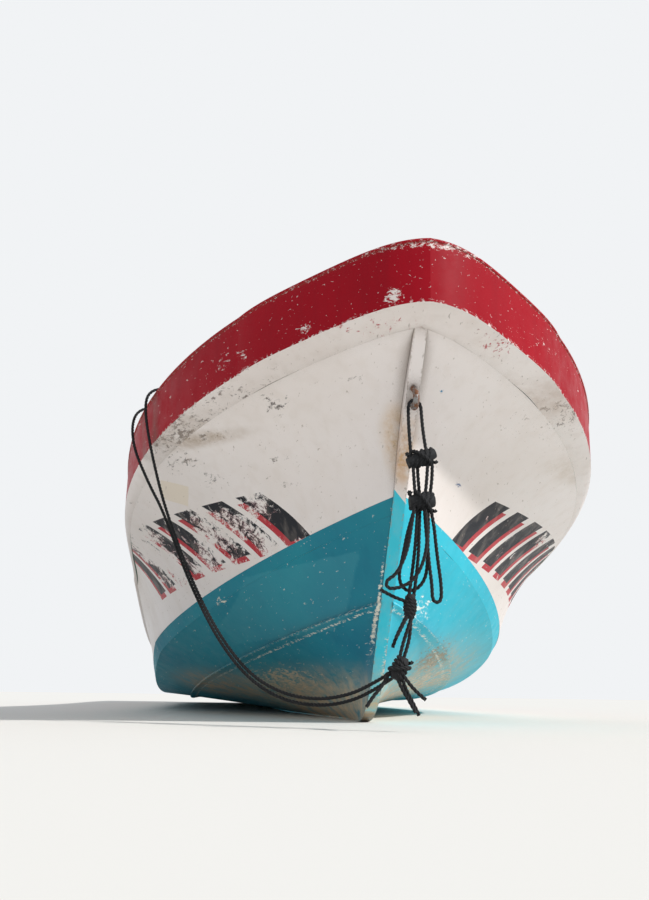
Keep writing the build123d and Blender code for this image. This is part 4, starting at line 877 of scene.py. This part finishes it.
for knot in knots:
    for count, layer in enumerate(knot["layers"], 1):
        layAlong(f"{knot['name']}_knot_turns_{count}", windingLine(knot, layer))
print("knots tied")

# Screws, and bolts and nuts on washers: one at each place, square to what it holds. Out is how far from
# the centreline, off how far from the fitting's middle.
deck = {"hatch": Vector((0.0, 0.83, 0.985)), "slope": math.radians(12)}
transom = {"foot": Vector((0.0, 6.95, 0.0)), "rake": math.radians(10)}
cleat = {"out": 0.43, "back": 0.21, "off": 0.043, "top": 0.007}
hinge = {"out": 0.15, "back": -0.258, "off": 0.024}
leaf = {"long": 0.070, "wide": 0.034, "thick": 0.003}
rowlock = {"out": 0.95356, "back": 4.5, "off": 0.038, "top": 0.61}
motorPad = {"up": 0.342, "offAcross": 0.13, "offUp": 0.085, "outside": 0.060, "inside": -0.020}
sternEye = {"out": 0.47, "off": 0.025, "up": 0.33}
deckUp = Vector((0.0, math.sin(deck["slope"]), math.cos(deck["slope"])))
deckAft = Vector((0.0, math.cos(deck["slope"]), -math.sin(deck["slope"])))
transomUp = Vector((0.0, math.sin(transom["rake"]), math.cos(transom["rake"])))
transomAft = Vector((0.0, math.cos(transom["rake"]), -math.sin(transom["rake"])))


# A place on the foredeck, from the middle of its hatch
def onDeck(across, back, high):
    return stemHead + deck["hatch"] + Vector((across, 0, 0)) + deckAft * back + deckUp * high


# A place on the transom, from the foot of its inner face
def onTransom(across, high, aft):
    return stemHead + transom["foot"] + Vector((across, 0, 0)) + transomUp * high + transomAft * aft


def padPlaces(aft):
    return [
        onTransom(side * motorPad["offAcross"], motorPad["up"] + end * motorPad["offUp"], aft)
        for side in (-1, 1) for end in (-1, 1)
    ]


screw = {"sides": 14, "head": 0.0055, "tall": 0.003, "washer": 0.0, "coat": "zinc", "facing": deckUp}
bolt = {"sides": 6, "head": 0.010, "tall": 0.007, "washer": 0.017, "coat": "rustyIron"}
nut = {**bolt, "head": 0.011, "tall": 0.010, "washer": 0.019}
washerShape = {"Vertices": 24, "Depth": 0.0024}
headTaper = 0.8
fastenings = {
    "cleat_screws": {**screw, "places": [
        onDeck(side * cleat["out"], cleat["back"] + end * cleat["off"], cleat["top"])
        for side in (-1, 1) for end in (-1, 1)
    ]},
    "hinge_screws": {**screw, "head": 0.005, "places": [
        onDeck(side * hinge["out"] + step * hinge["off"], hinge["back"], leaf["thick"])
        for side in (-1, 1) for step in (-1, 0, 1)
    ]},
    "rowlock_screws": {**screw, "facing": (0.0, 0.0, 1.0), "places": [
        stemHead + Vector((side * rowlock["out"], rowlock["back"] + end * rowlock["off"], rowlock["top"]))
        for side in (-1, 1) for end in (-1, 1)
    ]},
    "motor_pad_bolts_outside": {**bolt, "facing": transomAft, "places": padPlaces(motorPad["outside"])},
    "motor_pad_bolts_inside": {
        **bolt, "tall": 0.009, "facing": -transomAft, "places": padPlaces(motorPad["inside"]),
    },
    "stern_eye_nuts": {**nut, "facing": -transomAft, "places": [
        onTransom(side * sternEye["out"] + end * sternEye["off"], sternEye["up"], 0.0)
        for side in (-1, 1) for end in (-1, 1)
    ]},
}


# A head, a little narrower at its top, on a washer
def fasteningTree():
    tree, given = startTree(
        "heads on washers",
        {"Places": "Geometry", "Sides": "Int", "Head": "Float", "Tall": "Float", "Washer": "Float",
         "Facing": "Vector"},
    )
    topRadius = addNode(tree, "ShaderNodeMath", {"operation": "MULTIPLY", 1: headTaper}, {0: given["Head"]})
    head = addNode(
        tree, "GeometryNodeMeshCone",
        links={"Vertices": given["Sides"], "Depth": given["Tall"], "Radius Bottom": given["Head"],
               "Radius Top": topRadius.outputs[0]},
    )
    washer = addNode(tree, "GeometryNodeMeshCylinder", washerShape, {"Radius": given["Washer"]})
    both = addNode(tree, "GeometryNodeJoinGeometry")
    for part in (head, washer):
        tree.links.new(part.outputs["Mesh"], both.inputs[0])
    turned = addNode(
        tree, "FunctionNodeAlignRotationToVector", {"axis": "Z"}, {"Vector": given["Facing"]}
    )
    placed = addNode(
        tree, "GeometryNodeInstanceOnPoints",
        links={"Points": given["Places"], "Instance": both.outputs[0], "Rotation": turned.outputs[0]},
    )
    endTree(tree, placed, given["Finish"])
    return tree


headTree = fasteningTree()
for name, row in fastenings.items():
    values = {
        "Sides": row["sides"], "Head": row["head"], "Tall": row["tall"], "Washer": row["washer"],
        "Facing": row["facing"], "Finish": coats[row["coat"]],
    }
    growMesh(name, row["places"], [], headTree, values)

# Leaves of the hatch's hinges, screwed to the deck
halfLong, halfWide = leaf["long"] / 2, leaf["wide"] / 2
for name, side in [("hinge_leaf_port", 1), ("hinge_leaf_starboard", -1)]:
    corners = [
        onDeck(side * hinge["out"] + across, hinge["back"] + along, high)
        for high in (0.0, leaf["thick"])
        for across, along in [
            (-halfLong, -halfWide), (halfLong, -halfWide), (halfLong, halfWide), (-halfLong, halfWide),
        ]
    ]
    faces = [(3, 2, 1, 0), (4, 5, 6, 7), (0, 1, 5, 4), (1, 2, 6, 5), (2, 3, 7, 6), (3, 0, 4, 7)]
    mesh = bpy.data.meshes.new(name)
    mesh.from_pydata(corners, [], faces)
    mesh.materials.append(coats["rustyIron"])
    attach(linkMesh(name, mesh), "hull")
print("fastenings set")


# Ground, backdrop, lamps and camera
def plainSurface(name, colour):
    material, tree = newMaterial(name)
    diffuse = addNode(tree, "ShaderNodeBsdfDiffuse", {"Color": hexColour(colour)})
    finishMaterial(tree, diffuse)
    return material


bpy.ops.mesh.primitive_plane_add(size=light["floorSize"], location=(0, 0, 0))
floor = bpy.context.object
floor.name = "studio_floor"
floor.data.materials.append(plainSurface("pale studio floor", light["floorColour"]))

world = bpy.data.worlds.new("studio")
bpy.context.scene.world = world
world.use_nodes = True
sky = world.node_tree
sky.nodes.clear()
path = addNode(sky, "ShaderNodeLightPath")
lit = addNode(
    sky, "ShaderNodeBackground", {"Color": hexColour(light["skyColour"]), "Strength": light["skyStrength"]}
)
seen = addNode(sky, "ShaderNodeBackground", {"Color": hexColour(light["backColour"]), "Strength": 1.0})
mirrored = addNode(
    sky, "ShaderNodeMath", {"operation": "ADD"},
    {0: path.outputs["Is Glossy Ray"], 1: path.outputs["Is Transmission Ray"]},
)
direct = addNode(
    sky, "ShaderNodeMath", {"operation": "ADD", "use_clamp": True},
    {0: path.outputs["Is Camera Ray"], 1: mirrored.outputs[0]},
)
mixed = addNode(
    sky, "ShaderNodeMixShader", links={"Fac": direct.outputs[0], 1: lit.outputs[0], 2: seen.outputs[0]}
)
addNode(sky, "ShaderNodeOutputWorld", links={"Surface": mixed.outputs[0]})

lampData = bpy.data.lights.new("key", "SUN")
lampData.energy = light["sunStrength"]
lampData.angle = light["sunSpread"]
lamp = bpy.data.objects.new("key", lampData)
bpy.context.scene.collection.objects.link(lamp)
turn, height = light["sunTurn"], light["sunHeight"]
fromSun = Vector((math.sin(turn) * math.cos(height), -math.cos(turn) * math.cos(height), math.sin(height)))
lamp.rotation_mode = "QUATERNION"
lamp.rotation_quaternion = fromSun.to_track_quat("Z", "Y")

yaw, pitch, roll = camera["yaw"], camera["pitch"], camera["roll"]
level = Vector((math.sin(yaw), math.cos(yaw), 0))
right = Vector((math.cos(yaw), -math.sin(yaw), 0))
up = Vector((0, 0, 1))
ahead = level * math.cos(pitch) + up * math.sin(pitch)
above = up * math.cos(pitch) - level * math.sin(pitch)
rightRolled = right * math.cos(roll) + above * math.sin(roll)
aboveRolled = above * math.cos(roll) - right * math.sin(roll)
cameraData = bpy.data.cameras.new("camera")
cameraData.sensor_width = camera["sensor"]
cameraData.lens = camera["lens"]
cameraData.clip_end = camera["farthest"]
eye = bpy.data.objects.new("camera", cameraData)
bpy.context.scene.collection.objects.link(eye)
turned = Matrix((rightRolled, aboveRolled, -ahead)).transposed().to_4x4()
eye.matrix_world = Matrix.Translation(camera["place"]) @ turned
bpy.context.scene.camera = eye
bpy.context.scene.view_settings.view_transform = "Standard"
print("stage set")
